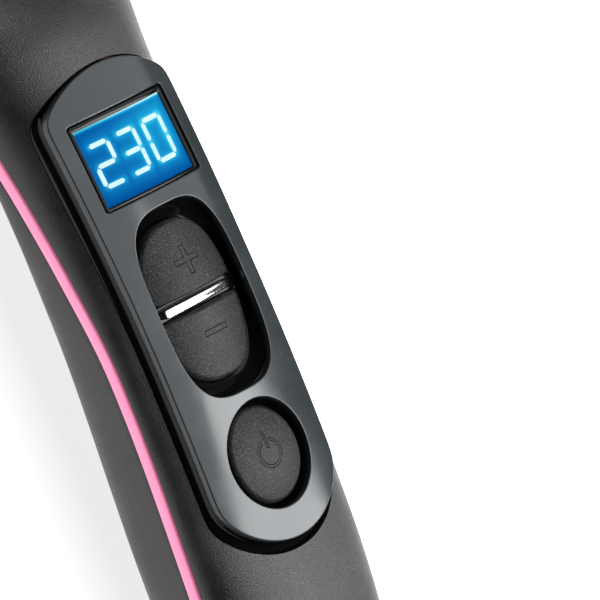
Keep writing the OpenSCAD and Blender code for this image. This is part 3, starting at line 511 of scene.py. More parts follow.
def rectangle(halfX, halfY, midY, corner=0.5, count=24):
    # a rectangle with small round corners and points along its sides
    points, middles = [], [(sx * (halfX - corner), midY + sy * (halfY - corner))
                           for sx, sy in squareCorners]
    for turn, (x, y) in enumerate(middles):
        for a in range(0, 91, 15):
            angle = math.radians(90 * turn + a)
            points.append((x + corner * math.cos(angle), y + corner * math.sin(angle)))
        here, ahead = points[-1], middles[(turn + 1) % 4]
        there = (here[0], ahead[1]) if turn % 2 else (ahead[0], here[1])
        points += [tuple(mix(here[i], there[i], k * 2 / count) for i in (0, 1)) for k in range(1, count // 2)]
    return points


def onLayer(points, depth):
    return [(x, y, layerZ(x, y, depth)) for x, y in points]


def offset(points, distance):
    # moved inwards across the outline, which runs anticlockwise
    n = len(points)
    moved = []
    for k, (x, y) in enumerate(points):
        d = Vector(points[(k + 1) % n]) - Vector(points[k - 1])
        d.normalize()
        moved.append((x - d.y * distance, y + d.x * distance))
    return moved


# ---- finishes
casingMaterial = grainedPlastic("soft touch black", (0.0026, 0.0026, 0.0030), (0.030, 0.031, 0.034), 0.34, 0.16,
                                0.09, lumps=0.4, speck=0.7, Specular_IOR_Level=0.45)
frameMaterial = grainedPlastic("textured black plastic", (0.012, 0.012, 0.013), (0.05, 0.05, 0.055), 0.42, 0.3, 0.08,
                               lumps=0.5, speck=0.3)
tipMaterial = grainedPlastic("tip rubber", (0.011, 0.011, 0.012), (0.05, 0.05, 0.054), 0.48, 0.2, 0.03, speck=0.3)
baseGloss = glossPlastic("panel black gloss", (0.0018, 0.0019, 0.0022), (0.0035, 0.0036, 0.0042), 0.1,
                         Specular_IOR_Level=0.17)
fasciaGloss = glossPlastic("gunmetal gloss", (0.028, 0.033, 0.036), (0.037, 0.043, 0.047), 0.13,
                           Metallic=0.1, Specular_IOR_Level=0.38)
# painted light: the pink trim glows a little through its emission, so the band looks brighter than the lamps alone make
# it
trimMaterial = glossPlastic("pink trim", (0.94, 0.24, 0.44), (0.96, 0.28, 0.48), 0.3, Coat_Weight=0.2,
                            Emission_Color=(0.94, 0.25, 0.45, 1), Emission_Strength=0.3)
print("finishes ready")

# ---- upper and lower casing
screw = dict(holeR=2.75, mouthR=3.1, wellR=3.6)
screwSpots = [(10.3, -103.5, 8.0), (9.0, 19.75, 13.0), (28.67, 62.75, 7.5), (28.41, 110.75, 7.5)]
swivel = dict(y=-129.5, z=15.5, bushD=15.0, collarD=17.0, collarL=3.4, fit=0.15,
              swivelD=12.0, bore=6.6, boreL=18.0, coreD=6.4, inL=23.1, flangeL=1.8)


def headLoop(inset, z, count=240):
    c = casing
    points = []
    for k in range(count):
        a = 2 * math.pi * k / count
        front = math.sin(a) > 0
        power = 2 / (c["nosePower"] if front else c["backPower"])
        reach = (c["frontL"] if front else c["backL"]) - inset
        points.append(((c["halfHead"] - inset) * signed(math.cos(a), power),
                       c["headMid"] + reach * signed(math.sin(a), power), z))
    return points


def cutTailBore(piece, selfCrossing=False):
    s = swivel
    collar, bush, shoulder = s["collarD"] / 2 + s["fit"], s["bushD"] / 2 + s["fit"], s["y"] + s["collarL"]
    turns = [2 * math.pi * k / 64 for k in range(64)]
    bm = bmesh.new()
    closedStack(bm, [[(r * math.cos(a), y, s["z"] + r * math.sin(a)) for a in turns]
                     for r, y in ((collar, -145), (collar, shoulder), (bush, shoulder), (bush, s["y"] + 40))])
    weld(bm)
    cutAway(piece, toObject("tailCutter", bm), selfCrossing)


def makeUpperCasing():
    piece = toObject("upperCasing", casingShell(1))
    bm = bmesh.new()
    closedStack(bm, [[(x, y, z) for x, y in panelOutline(panel["ledge"] + 0.12)] for z in (26.0, 45.0)])
    closedStack(bm, [headLoop(2.5, z) for z in (18.4, 30.0)])
    weld(bm)
    cutAway(piece, toObject("pocketCutter", bm), True)
    cutTailBore(piece, True)
    return finishPiece(piece, "casing", [casingMaterial], ["upper_casing"], 40)


def makeLowerCasing():
    # screwSpots gives half of the screws, as x, y and the height of the screw's head
    piece = toObject("lowerCasing", casingShell(-1))
    cutTailBore(piece)
    spots = [(side * x, y, z) for x, y, z in screwSpots for side in (-1, 1)]
    bm = bmesh.new()
    for x, y, z in spots:
        closedStack(bm, [circleAt(x, y, height, r)
                         for height, r in ((-5, screw["mouthR"]), (0.25, screw["mouthR"]),
                                           (0.6, screw["holeR"]), (z + 2, screw["holeR"]))])
    weld(bm)
    cutAway(piece, toObject("screwCutter", bm))

    def onWall(points, depth):
        return [(x, y, undersideZ(x, y) + depth) for x, y, _ in points]

    bm = bmesh.new()
    bm.from_mesh(piece.data)
    bmesh.ops.scale(bm, vec=(1000, 1000, 1000), verts=bm.verts)
    for x, y, z in spots:      # the well that each screw head sits in
        near, wide = circleAt(x, y, z + 2, screw["holeR"] + 0.01), circleAt(x, y, z + 2, screw["wellR"])
        ringStack(bm, [onWall(near, 0.4), near, wide, onWall(wide, 0.9)])
    bmesh.ops.scale(bm, vec=(mm, mm, mm), verts=bm.verts)
    bm.to_mesh(piece.data)
    bm.free()
    return finishPiece(piece, "casing", [casingMaterial], ["lower_casing"], 40)


def makeTrimBand():
    c = casing
    proud, r, half = c["trimProud"], 0.35, c["trimH"] / 2 - 0.05

    def level(lift):
        return lambda y, t: curveAt(partCurve, y) + lift

    profile = [(c["wall"], -half), (r - proud + 0.1, -half), (0.1 - proud, -half + r * 0.45), (-proud, -half + r),
               (-proud, half - r), (0.1 - proud, half - r * 0.45), (r - proud + 0.1, half), (c["wall"], half)]
    bm = bmesh.new()
    ringStack(bm, [drawnLoop(casingOutline(inset), 0, level(lift)) for inset, lift in profile])
    weld(bm)
    piece = toObject("trimBand", bm)
    cutTailBore(piece)
    return finishPiece(piece, "casing", [trimMaterial], ["trim_band"], 40)


makeUpperCasing()
makeLowerCasing()
makeTrimBand()
print("casing made")


# ---- panel base: ledge, step and the dished wells
buttons = dict(w=20.2, l=29.6, power=2.45, split=1.5, corner=12, drop=0.8, along=60.0, across=17.0, edgeR=0.75,
               powerA=7.9, powerB=8.9, powerDrop=0.3, powerCrown=23.0, low=27.2,
               plusY=7.3, plusArm=2.7, minusY=-6.2, minusHalf=2.5, signHalf=0.5, ringR=2.45, lineHalf=0.26)


def makePanelBase():
    p, b = panel, buttons
    bm = bmesh.new()
    low, ledge = p["fasciaT"] + p["stepH"], p["ledge"]
    profile = [(ledge, p["depth"]), (ledge, low + 0.45), (ledge - 0.06, low + 0.2), (ledge - 0.25, low + 0.04),
               (0.55, low - 0.14), (0.28, low - 0.36), (0.12, low - 0.62), (0.03, low - 0.95), (0.0, low - 1.2),
               (0.0, p["fasciaT"] + 0.12), (-0.12, p["fasciaT"] + 0.01)]
    first, last = stack(bm, [onLayer(panelOutline(grow), depth) for grow, depth in profile])

    def dish(topA, topB, topPower, lowA, lowB, lowPower, holeA, holeB, midY, depth):
        rings = [onLayer(oval(topA, topB, topPower, midY), p["fasciaT"] + 0.01)]
        for s in (0.06, 0.16, 0.3, 0.46, 0.62, 0.78, 0.92, 1.0):
            # a hollow wall: steep under the fascia and flat round the button
            fall = mix(p["fasciaT"], depth, mix(s, smooth(s), 0.55))
            rings.append(onLayer(oval(mix(topA, lowA, s), mix(topB, lowB, s), mix(topPower, lowPower, s), midY), fall))
        rings.append(onLayer(oval(holeA, holeB, lowPower, midY), depth + 0.12))
        rings.append(onLayer(oval(holeA, holeB, lowPower, midY), p["depth"]))
        return rings

    well = dish(p["wellW"] / 2 + 0.25, p["wellL"] / 2 + 0.3, p["wellPower"],
                b["w"] / 2 + 0.42, b["l"] / 2 + 0.42, b["power"], b["w"] / 2 + 0.2, b["l"] / 2 + 0.2, p["rockerY"], 4.0)
    power = dish(p["powerW"] / 2 + 0.2, p["powerL"] / 2 + 0.2, 2, b["powerA"] + 0.4, b["powerB"] + 0.4, 2,
                 b["powerA"] + 0.2, b["powerB"] + 0.2, p["powerY"], 3.4)
    window = [onLayer(rectangle(p["lcdW"] / 2 - 0.6, p["lcdL"] / 2 - 0.6, p["displayY"]), d)
              for d in (p["fasciaT"] + 0.01, p["depth"])]
    topEdges, lowEdges = edgesOf(bm, last), edgesOf(bm, first)
    for hole in (well, power, window):
        rim, inner = stack(bm, hole)
        topEdges += edgesOf(bm, rim)
        lowEdges += edgesOf(bm, inner)
    bmesh.ops.triangle_fill(bm, edges=topEdges, use_beauty=True, use_dissolve=False)
    bmesh.ops.triangle_fill(bm, edges=lowEdges, use_beauty=True, use_dissolve=False)
    web = (1.3, 10.2)               # the web between the two buttons, under the bar
    closedStack(bm, [[(sx * web[1], p["rockerY"] + sy * web[0], z) for sx, sy in squareCorners]
                     for z in (panelZ(p["rockerY"]) - p["depth"], panelZ(p["rockerY"]) - 4.15)])
    weld(bm)
    return finishPiece(toObject("panelBase", bm), "casing", [baseGloss], ["panel_base"], 50)


def makeFascia():
    # a flat sheet with three openings, cut into small cells and laid on the crowned surface
    p = panel
    edge = 0.28
    bm = bmesh.new()
    openings = [offset(rectangle(p["lcdW"] / 2 + 0.15, p["lcdL"] / 2 + 0.15, p["displayY"], 0.6), -edge),
                offset(oval(p["wellW"] / 2, p["wellL"] / 2, p["wellPower"], p["rockerY"]), -edge),
                offset(oval(p["powerW"] / 2, p["powerL"] / 2, 2, p["powerY"]), -edge)]
    outer = offset(panelOutline(0.0), edge)
    loops = [startLoop(bm, [(x, y, 0) for x, y in points]) for points in [outer] + openings]
    rims = [edgesOf(bm, loop) for loop in loops]
    bmesh.ops.triangle_fill(bm, edges=[e for rim in rims for e in rim], use_beauty=True, use_dissolve=False)
    for axis, low, high, step in (("x", -15.0, 15.0, 1.1), ("y", -85.0, 9.0, 1.1)):
        place = low
        while place < high:
            point, normal = ((place, 0, 0), (1, 0, 0)) if axis == "x" else ((0, place, 0), (0, 1, 0))
            bmesh.ops.bisect_plane(bm, geom=list(bm.verts) + list(bm.edges) + list(bm.faces), plane_co=point,
                                   plane_no=normal, dist=0.0005)
            place += step
    bmesh.ops.remove_doubles(bm, verts=bm.verts, dist=0.002)
    bmesh.ops.recalc_face_normals(bm, faces=bm.faces)
    if sum(f.normal.z for f in bm.faces) < 0:
        bmesh.ops.reverse_faces(bm, faces=bm.faces)
    # the edge: a rounded lip, then straight down to the base
    steps = [(0.0, 0.0), (0.11, 0.02), (0.2, 0.08), (edge, 0.26), (edge, p["fasciaT"])]
    rim = [e for e in bm.edges if e.is_boundary]
    outward = {}
    for e in rim:
        a, b = e.verts
        face = e.link_faces[0]
        side = (b.co - a.co).cross(Vector((0, 0, 1))).normalized()
        if side.dot(face.calc_center_median() - a.co) > 0:
            side.negate()
        for v in e.verts:
            outward[v] = outward.get(v, Vector()) + side
    flat = {v: (v.co.x, v.co.y) for v in bm.verts}
    lean = {}                   # how each point's normal leans out over the edge
    for v in bm.verts:
        v.co.z = layerZ(v.co.x, v.co.y)
        lean[v] = (0.0, Vector((0, 0)))
    start = {v: (Vector(flat[v]), outward[v].normalized()) for v in outward}
    for (out, depth), tip in zip(steps[1:], (0.38, 0.85, 1.4, 1.57)):
        made = bmesh.ops.extrude_edge_only(bm, edges=rim)["geom"]
        fresh = {g for g in made if isinstance(g, bmesh.types.BMVert)}
        grown = {}
        for v, (place, way) in start.items():
            new = next(e.other_vert(v) for e in v.link_edges if e.other_vert(v) in fresh)
            x, y = place.x + way.x * out, place.y + way.y * out
            new.co = (x, y, layerZ(x, y, depth))
            lean[new] = (tip, way)
            grown[new] = (place, way)
        rim = [g for g in made if isinstance(g, bmesh.types.BMEdge) and g.verts[0] in fresh and g.verts[1] in fresh
               and g.is_boundary]
        start = grown
    bmesh.ops.triangle_fill(bm, edges=rim, use_beauty=True, use_dissolve=False)
    bmesh.ops.recalc_face_normals(bm, faces=bm.faces)
    bm.verts.index_update()
    ways = []
    for v in bm.verts:
        x, y = v.co.x, v.co.y
        up = Vector((x / math.sqrt(p["crownCross"] ** 2 - x * x), (y - casing["crownY"]) / p["crownLong"], 1))
        up.normalize()
        tip, way = lean[v]
        ways.append((up * math.cos(tip) + Vector((way.x, way.y, 0)) * math.sin(tip)).normalized())
    piece = finishPiece(toObject("fasciaPlate", bm), "casing", [fasciaGloss], ["fascia"], 180)
    piece.data.normals_split_custom_set_from_vertices(ways)
    return piece


makePanelBase()
makeFascia()
print("panel made")

# ---- silver bar between the buttons
bar = dict(l=17.4, w=1.6, depth=1.7, t=2.4, round=0.3, fall=0.7, flatX=-5)


def silverMaterial():
    # brushed along the bar, with faint pits
    material, tree, shader, place = baseMaterial("brushed silver", Metallic=1.0)
    stretch = tree.nodes.new("ShaderNodeMapping")
    stretch.inputs["Scale"].default_value = (0.04, 1, 1)
    tree.links.new(place, stretch.inputs["Vector"])
    streaks = noiseNode(tree, stretch.outputs["Vector"], 0.12, 3.0)
    tree.links.new(rampNode(tree, streaks, [(0.3, (0.62, 0.63, 0.65)), (0.7, (0.86, 0.87, 0.88))]),
                   shader.inputs["Base Color"])
    tree.links.new(rangeNode(tree, streaks, 0.2, 0.8, 0.08, 0.15), shader.inputs["Roughness"])
    bumpOn(tree, shader, streaks, 0.006)
    return material


def makeBar():
    p = panel
    top = panelZ(p["rockerY"]) - bar["depth"]
    bm = bmesh.new()
    bmesh.ops.create_cube(bm, size=1)
    bmesh.ops.scale(bm, vec=(bar["l"], bar["w"], bar["t"]), verts=bm.verts)
    bmesh.ops.translate(bm, vec=(0, p["rockerY"], top - bar["t"] / 2), verts=bm.verts)
    for k in range(1, 20):
        bmesh.ops.bisect_plane(bm, geom=list(bm.verts) + list(bm.edges) + list(bm.faces),
                               plane_co=(bar["l"] * (k / 20 - 0.5), 0, 0), plane_no=(1, 0, 0))
    upright = [e for e in bm.edges if abs(e.verts[0].co.z - e.verts[1].co.z) > 1
               and abs(e.verts[0].co.x) > bar["l"] / 2 - 0.1]
    bmesh.ops.bevel(bm, geom=upright, offset=0.5, segments=4, profile=0.5, affect="EDGES", material=-1)
    upper = [e for e in bm.edges if all(v.co.z > top - 0.01 for v in e.verts) and len(e.link_faces) == 2
             and e.calc_face_angle() > 0.3]
    bmesh.ops.bevel(bm, geom=upper, offset=bar["round"], segments=4, profile=0.5, affect="EDGES", material=-1)
    for v in bm.verts:      # the right end falls away between the buttons
        if v.co.z > top - 1:
            v.co.z -= bar["fall"] * ((v.co.x - bar["flatX"]) / (bar["l"] / 2)) ** 2
    return finishPiece(toObject("dividerBar", bm), "casing", [silverMaterial()], ["divider_bar"], 40)


makeBar()

# ---- display: printed window, liquid crystal and its digits
display = dict(litLeft=-10.7, litRight=10.35, litLow=-7.5, litHigh=6.95, digitLow=-4.55, digitHigh=3.95,
               bar=0.86, gap=0.15, places=[(-9.55, 4.95), (-3.35, 4.85), (3.1, 5.25)], lit=["abged", "abgcd", "abcdef"])


def segmentShapes():
    # seven-segment digits as six-sided bars in the display's own plane
    d = display
    low, high, w, gap = d["digitLow"], d["digitHigh"], d["bar"], d["gap"]
    mid = (low + high) / 2
    shapes = []
    for (left, width), lit in zip(d["places"], d["lit"]):
        x0, x1 = left + w / 2, left + width - w / 2
        ends = {"a": ((x0, high - w / 2), (x1, high - w / 2)), "d": ((x0, low + w / 2), (x1, low + w / 2)),
                "g": ((x0, mid), (x1, mid)), "f": ((x0, mid), (x0, high - w / 2)),
                "b": ((x1, mid), (x1, high - w / 2)),
                "e": ((x0, low + w / 2), (x0, mid)), "c": ((x1, low + w / 2), (x1, mid))}
        for key in lit:
            a, b = Vector(ends[key][0]), Vector(ends[key][1])
            along = (b - a).normalized()
            across = Vector((-along.y, along.x)) * w / 2
            a, b = a + along * gap, b - along * gap
            tip = along * w / 2
            shapes.append([a, a + tip - across, b - tip - across, b, b - tip + across, a + tip + across])
    return [[(q.x, q.y) for q in shape] for shape in shapes]


def segmentDistance(x, y, shape):
    a, b = Vector(shape[0]), Vector(shape[3])
    q = Vector((x, y))
    t = clamp((q - a).dot(b - a) / (b - a).length_squared, 0, 1)
    return (q - a.lerp(b, t)).length - display["bar"] / 2


def litMaterial():
    material, tree, shader, place = baseMaterial("liquid crystal", Roughness=0.3, Emission_Strength=1.0,
                                                 Specular_IOR_Level=0.0)
    glow = tree.nodes.new("ShaderNodeAttribute")
    glow.attribute_name = "glow"
    tone = rampNode(tree, glow.outputs["Fac"], [(0.0, (0.0, 0.070, 0.29)), (0.3, (0.0, 0.165, 0.46)),
                                                (0.55, (0.0, 0.32, 0.63)), (0.8, (0.03, 0.60, 0.82)),
                                                (1.0, (0.65, 0.96, 1.0))])
    cell = noiseNode(tree, place, 2.5, 2.0)
    cloudy = rampNode(tree, cell, [(0.3, (0.9, 0.94, 0.96)), (0.7, (1, 1, 1))])
    tree.links.new(mixColor(tree, 1.0, tone, cloudy, "MULTIPLY"), shader.inputs["Emission Color"])
    dark = rampNode(tree, glow.outputs["Fac"], [(0, (0.0, 0.004, 0.02)), (1, (0.01, 0.03, 0.05))])
    tree.links.new(dark, shader.inputs["Base Color"])
    return material


def digitMaterial():
    material, tree, shader, place = baseMaterial("lit digits", Roughness=0.3, Emission_Strength=0.86,
                                                 Specular_IOR_Level=0.0)
    shine = noiseNode(tree, place, 1.2, 2.0)
    tree.links.new(rampNode(tree, shine, [(0.3, (0.62, 0.92, 1.0)), (0.7, (0.80, 0.97, 1.0))]),
                   shader.inputs["Emission Color"])
    tree.links.new(rampNode(tree, shine, [(0.3, (0.05, 0.1, 0.12)), (0.7, (0.08, 0.14, 0.16))]),
                   shader.inputs["Base Color"])
    return material


def makeDisplay():
    p, d = panel, display
    midY = p["displayY"]
    shapes = segmentShapes()
    # the frame round the lit area, printed black on the window's edge
    bm = bmesh.new()
    halfX, halfY = p["lcdW"] / 2, p["lcdL"] / 2
    litX, litY = (d["litRight"] - d["litLeft"]) / 2, (d["litHigh"] - d["litLow"]) / 2
    shiftX, shiftY = (d["litRight"] + d["litLeft"]) / 2, (d["litHigh"] + d["litLow"]) / 2

    def frameLoop(a, b, y, depth, dx=0.0, corner=0.5):
        return [(x + dx, q, layerZ(x + dx, q, depth)) for x, q in rectangle(a, b, y, corner)]

    ringStack(bm, [frameLoop(halfX, halfY, midY, 1.38), frameLoop(halfX, halfY, midY, 0.4),
                   frameLoop(halfX - 0.06, halfY - 0.06, midY, 0.26), frameLoop(halfX - 0.2, halfY - 0.2, midY, 0.2),
                   frameLoop(litX + 0.16, litY + 0.16, midY + shiftY, 0.24, shiftX, 0.3),
                   frameLoop(litX + 0.03, litY + 0.03, midY + shiftY, 0.34, shiftX, 0.25),
                   frameLoop(litX, litY, midY + shiftY, 0.62, shiftX, 0.25),
                   frameLoop(litX, litY, midY + shiftY, 1.38, shiftX, 0.25)])
    weld(bm)
    finishPiece(toObject("displayWindow", bm), "casing", [baseGloss], ["display_window"], 40)
    # the liquid crystal, with a glow painted round the digits and a painted highlight along its top and left edges
    bm = bmesh.new()
    bmesh.ops.create_grid(bm, x_segments=84, y_segments=60, size=0.5)
    bmesh.ops.scale(bm, vec=(2 * litX - 0.04, 2 * litY - 0.04, 1), verts=bm.verts)
    bmesh.ops.translate(bm, vec=(shiftX, midY + shiftY, 0), verts=bm.verts)
    for v in bm.verts:
        v.co.z = layerZ(v.co.x, v.co.y, 0.55)
    rim = [e for e in bm.edges if e.is_boundary]
    made = bmesh.ops.extrude_edge_only(bm, edges=rim)["geom"]
    for v in (g for g in made if isinstance(g, bmesh.types.BMVert)):
        v.co.z = 31.2
    bmesh.ops.holes_fill(bm, edges=[e for e in bm.edges if e.is_boundary], sides=0)
    bmesh.ops.recalc_face_normals(bm, faces=bm.faces)
    piece = toObject("displayGlass", bm)
    glow = piece.data.attributes.new("glow", "FLOAT", "POINT")
    for k, v in enumerate(piece.data.vertices):
        x, y = v.co.x / mm, v.co.y / mm - midY
        near = min(segmentDistance(x, y, shape) for shape in shapes)
        edge = min(x - d["litLeft"], d["litRight"] - x, y - d["litLow"], d["litHigh"] - y)
        soft = 0.16 * math.exp(-max(near, 0) / 0.25) + 0.26 * math.exp(-max(near, 0) / 1.3)
        side = 0.30 * smooth((x + 10) / 18) * smooth((y + 9) / 9)
        # painted highlight: a bright line along the lit area's top edge and a fainter one along its left edge
        paintedTopEdgeHighlight = 0.85 * math.exp(-(max(d["litHigh"] - y, 0) / 0.42) ** 2)
        paintedEdgeHighlights = paintedTopEdgeHighlight + 0.28 * math.exp(-max(x - d["litLeft"], 0) / 0.2)
        glow.data[k].value = clamp(soft + side + 0.10 * smooth(edge / 2) + paintedEdgeHighlights, 0, 1)
    finishPiece(piece, "casing", [litMaterial()], ["display_glass"], 40)
    # the digits themselves
    bm = bmesh.new()
    for shape in shapes:
        closedStack(bm, [[(x, y + midY, layerZ(x, y + midY, depth)) for x, y in shape] for depth in (0.56, 0.5)])
    weld(bm, 0.0005)
    finishPiece(toObject("displayDigits", bm), "casing", [digitMaterial()], angle=30)


makeDisplay()
print("display made")


# ---- buttons
def rockerOutline(s, count=112):
    # half of the oval, with its two lower corners rounded
    b, midY = buttons, panel["rockerY"]
    centre = midY + s * (b["split"] + b["l"] / 2) / 2
    points = []
    for k in range(count):
        a = 2 * math.pi * k / count
        low, high = 0.0, 20.0
        for _ in range(30):
            r = (low + high) / 2
            x, y = r * math.cos(a), centre + r * math.sin(a)
            curve = abs(x / (b["w"] / 2)) ** b["power"] + abs((y - midY) / (b["l"] / 2)) ** b["power"]
            curve **= 1 / b["power"]
            flat = (s * (centre - y)) / (s * (centre - midY) - b["split"])
            value = curve ** b["corner"] + max(flat, 0) ** b["corner"]
            low, high = (r, high) if value < 1 else (low, r)
        points.append((r * math.cos(a), centre + r * math.sin(a)))
    return points, centre


def rockerTop(x, y):
    b, midY = buttons, panel["rockerY"]
    ring = b["along"] - b["across"] + math.sqrt(b["across"] ** 2 - x * x)
    return panelZ(midY) - b["drop"] - b["along"] + math.sqrt(ring * ring - (y - midY) ** 2)


def powerTop(x, y):
    b, midY = buttons, panel["powerY"]
    return (panelZ(midY) - b["powerDrop"] - b["powerCrown"]
            + math.sqrt(b["powerCrown"] ** 2 - x * x - (y - midY) ** 2))


def makeButton(name, body, node, outline, centre, top, material):
    # straight skirt, rounded edge, then rings over the dome to its middle
    b = buttons
    r = b["edgeR"]
    low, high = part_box(node)
    foot = low.z / mm
    rings = [[(x, y, b["low"] + 0.9) for x, y in outline], [(x, y, top(x * 0.98, y) - r) for x, y in outline]]
    for a in (20, 42, 64, 82):
        inset, fall = r * (1 - math.cos(math.radians(a))), r * (1 - math.sin(math.radians(a)))
        rings.append([(x, y, top(x, y) - fall) for x, y in offset(outline, inset)])
    inner = offset(outline, r)
    for t in (0.0, 0.05, 0.12, 0.2, 0.3, 0.4, 0.5, 0.6, 0.7, 0.8, 0.9, 1.0):
        ring = [(x * (1 - t), centre + (y - centre) * (1 - t)) for x, y in inner]
        rings.append([(x, y, top(x, y)) for x, y in ring])
    bm = bmesh.new()
    start, _ = stack(bm, rings)
    bmesh.ops.contextual_create(bm, geom=edgesOf(bm, start))
    halfX, halfY, levels = high.x / mm, min(3.4, (high.y - low.y) / mm / 2), (b["low"], b["low"] + 0.9)
    if body == "power_key":         # its flange is round, and the other two have square ones
        closedStack(bm, [circleAt(0, centre, z, halfX, 48) for z in levels])
    else:
        closedStack(bm, [[(sx * halfX, centre + sy * halfY, z) for sx, sy in squareCorners] for z in levels])
    closedStack(bm, [circleAt(0, centre, z, 2.0) for z in (foot, b["low"] + 0.2)])
    weld(bm)
    return finishPiece(toObject(name, bm), body, [material], [node], 40)


def boxDistance(tree, midX, midY, halfX, halfY):
    return placeGroup(tree, boxGroup, MidX=midX, MidY=midY, HalfX=halfX, HalfY=halfY).outputs[0]


def rubberWithSign(name, distance):
    # charcoal rubber with a sign pressed into it: distance(tree, place) is below zero inside the sign
    material, tree, shader, place = baseMaterial(name, Specular_IOR_Level=0.25)
    look = placeGroup(tree, grainGroup, Grain=1 / (0.15 * mm), Lumps=0.3)
    away = distance(tree, place)
    inside = rangeNode(tree, away, -0.08, 0.1, 1, 0)
    # painted shade: a dark band round the sign's edge stands in for the shade inside the pressed groove
    line = mathNode(tree, "MULTIPLY", rangeNode(tree, away, -0.26, -0.06, 0, 1),
                    rangeNode(tree, away, 0.0, 0.14, 1, 0))
    wide = rampNode(tree, look.outputs["Patch"], [(0.3, (0.006, 0.0063, 0.007)), (0.7, (0.010, 0.0103, 0.0115))])
    # painted highlight: lighter specks stand in for glints on the rubber's grain
    sparkle = mixColor(tree, mathNode(tree, "MULTIPLY", look.outputs["Speck"], 0.7), wide, (0.2, 0.203, 0.215))
    shadedSignColor = mixColor(tree, mathNode(tree, "MULTIPLY", line, 0.85), sparkle, (0.002, 0.002, 0.002))
    tree.links.new(shadedSignColor, shader.inputs["Base Color"])
    tree.links.new(rangeNode(tree, look.outputs["Patch"], 0.3, 0.7, 0.38, 0.48), shader.inputs["Roughness"])
    grain = bumpOn(tree, shader, look.outputs["Height"], 0.08)
    press = tree.nodes.new("ShaderNodeBump")
    press.inputs["Distance"].default_value = 0.22 * mm
    press.inputs["Strength"].default_value = 1.0
    tree.links.new(mathNode(tree, "MULTIPLY", inside, -1.0), press.inputs["Height"])
    tree.links.new(press.outputs["Normal"], grain.inputs["Normal"])
    return material


def plusDistance(tree, place):
    y, arm, half = panel["rockerY"] + buttons["plusY"], buttons["plusArm"], buttons["signHalf"]
    return mathNode(tree, "MINIMUM", boxDistance(tree, 0, y, arm, half), boxDistance(tree, 0, y, half, arm))


def minusDistance(tree, place):
    return boxDistance(tree, 0, panel["rockerY"] + buttons["minusY"], buttons["minusHalf"], buttons["signHalf"])


def powerDistance(tree, place):
    # a ring that is open at the top, and a short bar
    ring = tree.nodes.new("ShaderNodeVectorMath")
    ring.operation = "SUBTRACT"
    tree.links.new(place, ring.inputs[0])
    ring.inputs[1].default_value = (0, panel["powerY"] * mm, 0)
    flatten = tree.nodes.new("ShaderNodeVectorMath")
    flatten.operation = "MULTIPLY"
    flatten.inputs[1].default_value = (1 / mm, 1 / mm, 0)
    tree.links.new(ring.outputs[0], flatten.inputs[0])
    length = tree.nodes.new("ShaderNodeVectorMath")
    length.operation = "LENGTH"
    tree.links.new(flatten.outputs[0], length.inputs[0])
    away = mathNode(tree, "ABSOLUTE", mathNode(tree, "SUBTRACT", length.outputs["Value"], buttons["ringR"]))
    circle = mathNode(tree, "SUBTRACT", away, buttons["lineHalf"])
    opening = boxDistance(tree, 0, panel["powerY"] + 2.6, 0.95, 1.6)
    arc = mathNode(tree, "MAXIMUM", circle, mathNode(tree, "MULTIPLY", opening, -1.0))
    return mathNode(tree, "MINIMUM", arc, boxDistance(tree, 0, panel["powerY"] + 2.5, buttons["lineHalf"], 1.55))


for sign, title, distance in ((1, "plus", plusDistance), (-1, "minus", minusDistance)):
    shape, middle = rockerOutline(sign)
    makeButton(title + "Button", title + "_key", title + "_button", shape, middle, rockerTop,
               rubberWithSign(title + " rubber", distance))
makeButton("powerButton", "power_key", "power_button", oval(buttons["powerA"], buttons["powerB"], 2, panel["powerY"]),
           panel["powerY"], powerTop, rubberWithSign("power rubber", powerDistance))
print("buttons made")

# ---- head: comb frame, heating plate and ball tips
head = dict(rows=11, pitch=7.2, midRow=87.25, frameZ=18.4, frameTop=20.6, rim=2.65, frameIn=8.9, plateIn=9.3,
            floorZ=19.4, toothH=12.0, saddleH=5.0, finT=4.4, postR=2.3, reach=20.0, stagger=1.0, ballR=1.95, ballZ=0.88,
            tineR=0.95, tineTop=33.1, tineIn=5.7, station=0.55)


def rowY(i):
    return head["midRow"] + (i - (head["rows"] - 1) / 2) * head["pitch"]


def headX(y, inset):
    c = casing
    front = y > c["headMid"]
    reach = (c["frontL"] if front else c["backL"]) - inset
    return (c["halfHead"] - inset) * superArc((y - c["headMid"]) / reach,
                                              c["nosePower"] if front else c["backPower"])


def finEnd(i):
    return min(headX(rowY(i) + s * head["finT"] / 2, head["plateIn"]) for s in (-1, 1)) - 0.3


def rowTeeth(i):
    h = head
    reach = finEnd(i) - h["postR"] - 1
    inner = h["reach"] / 2 + (i % 2) * h["stagger"]
    a = [min(inner, reach)] if reach >= 6 else []
    b = [min(h["reach"], reach)] if reach >= inner + 7 else []
    return [-x for x in b] + [-x for x in a] + [0] + a + b


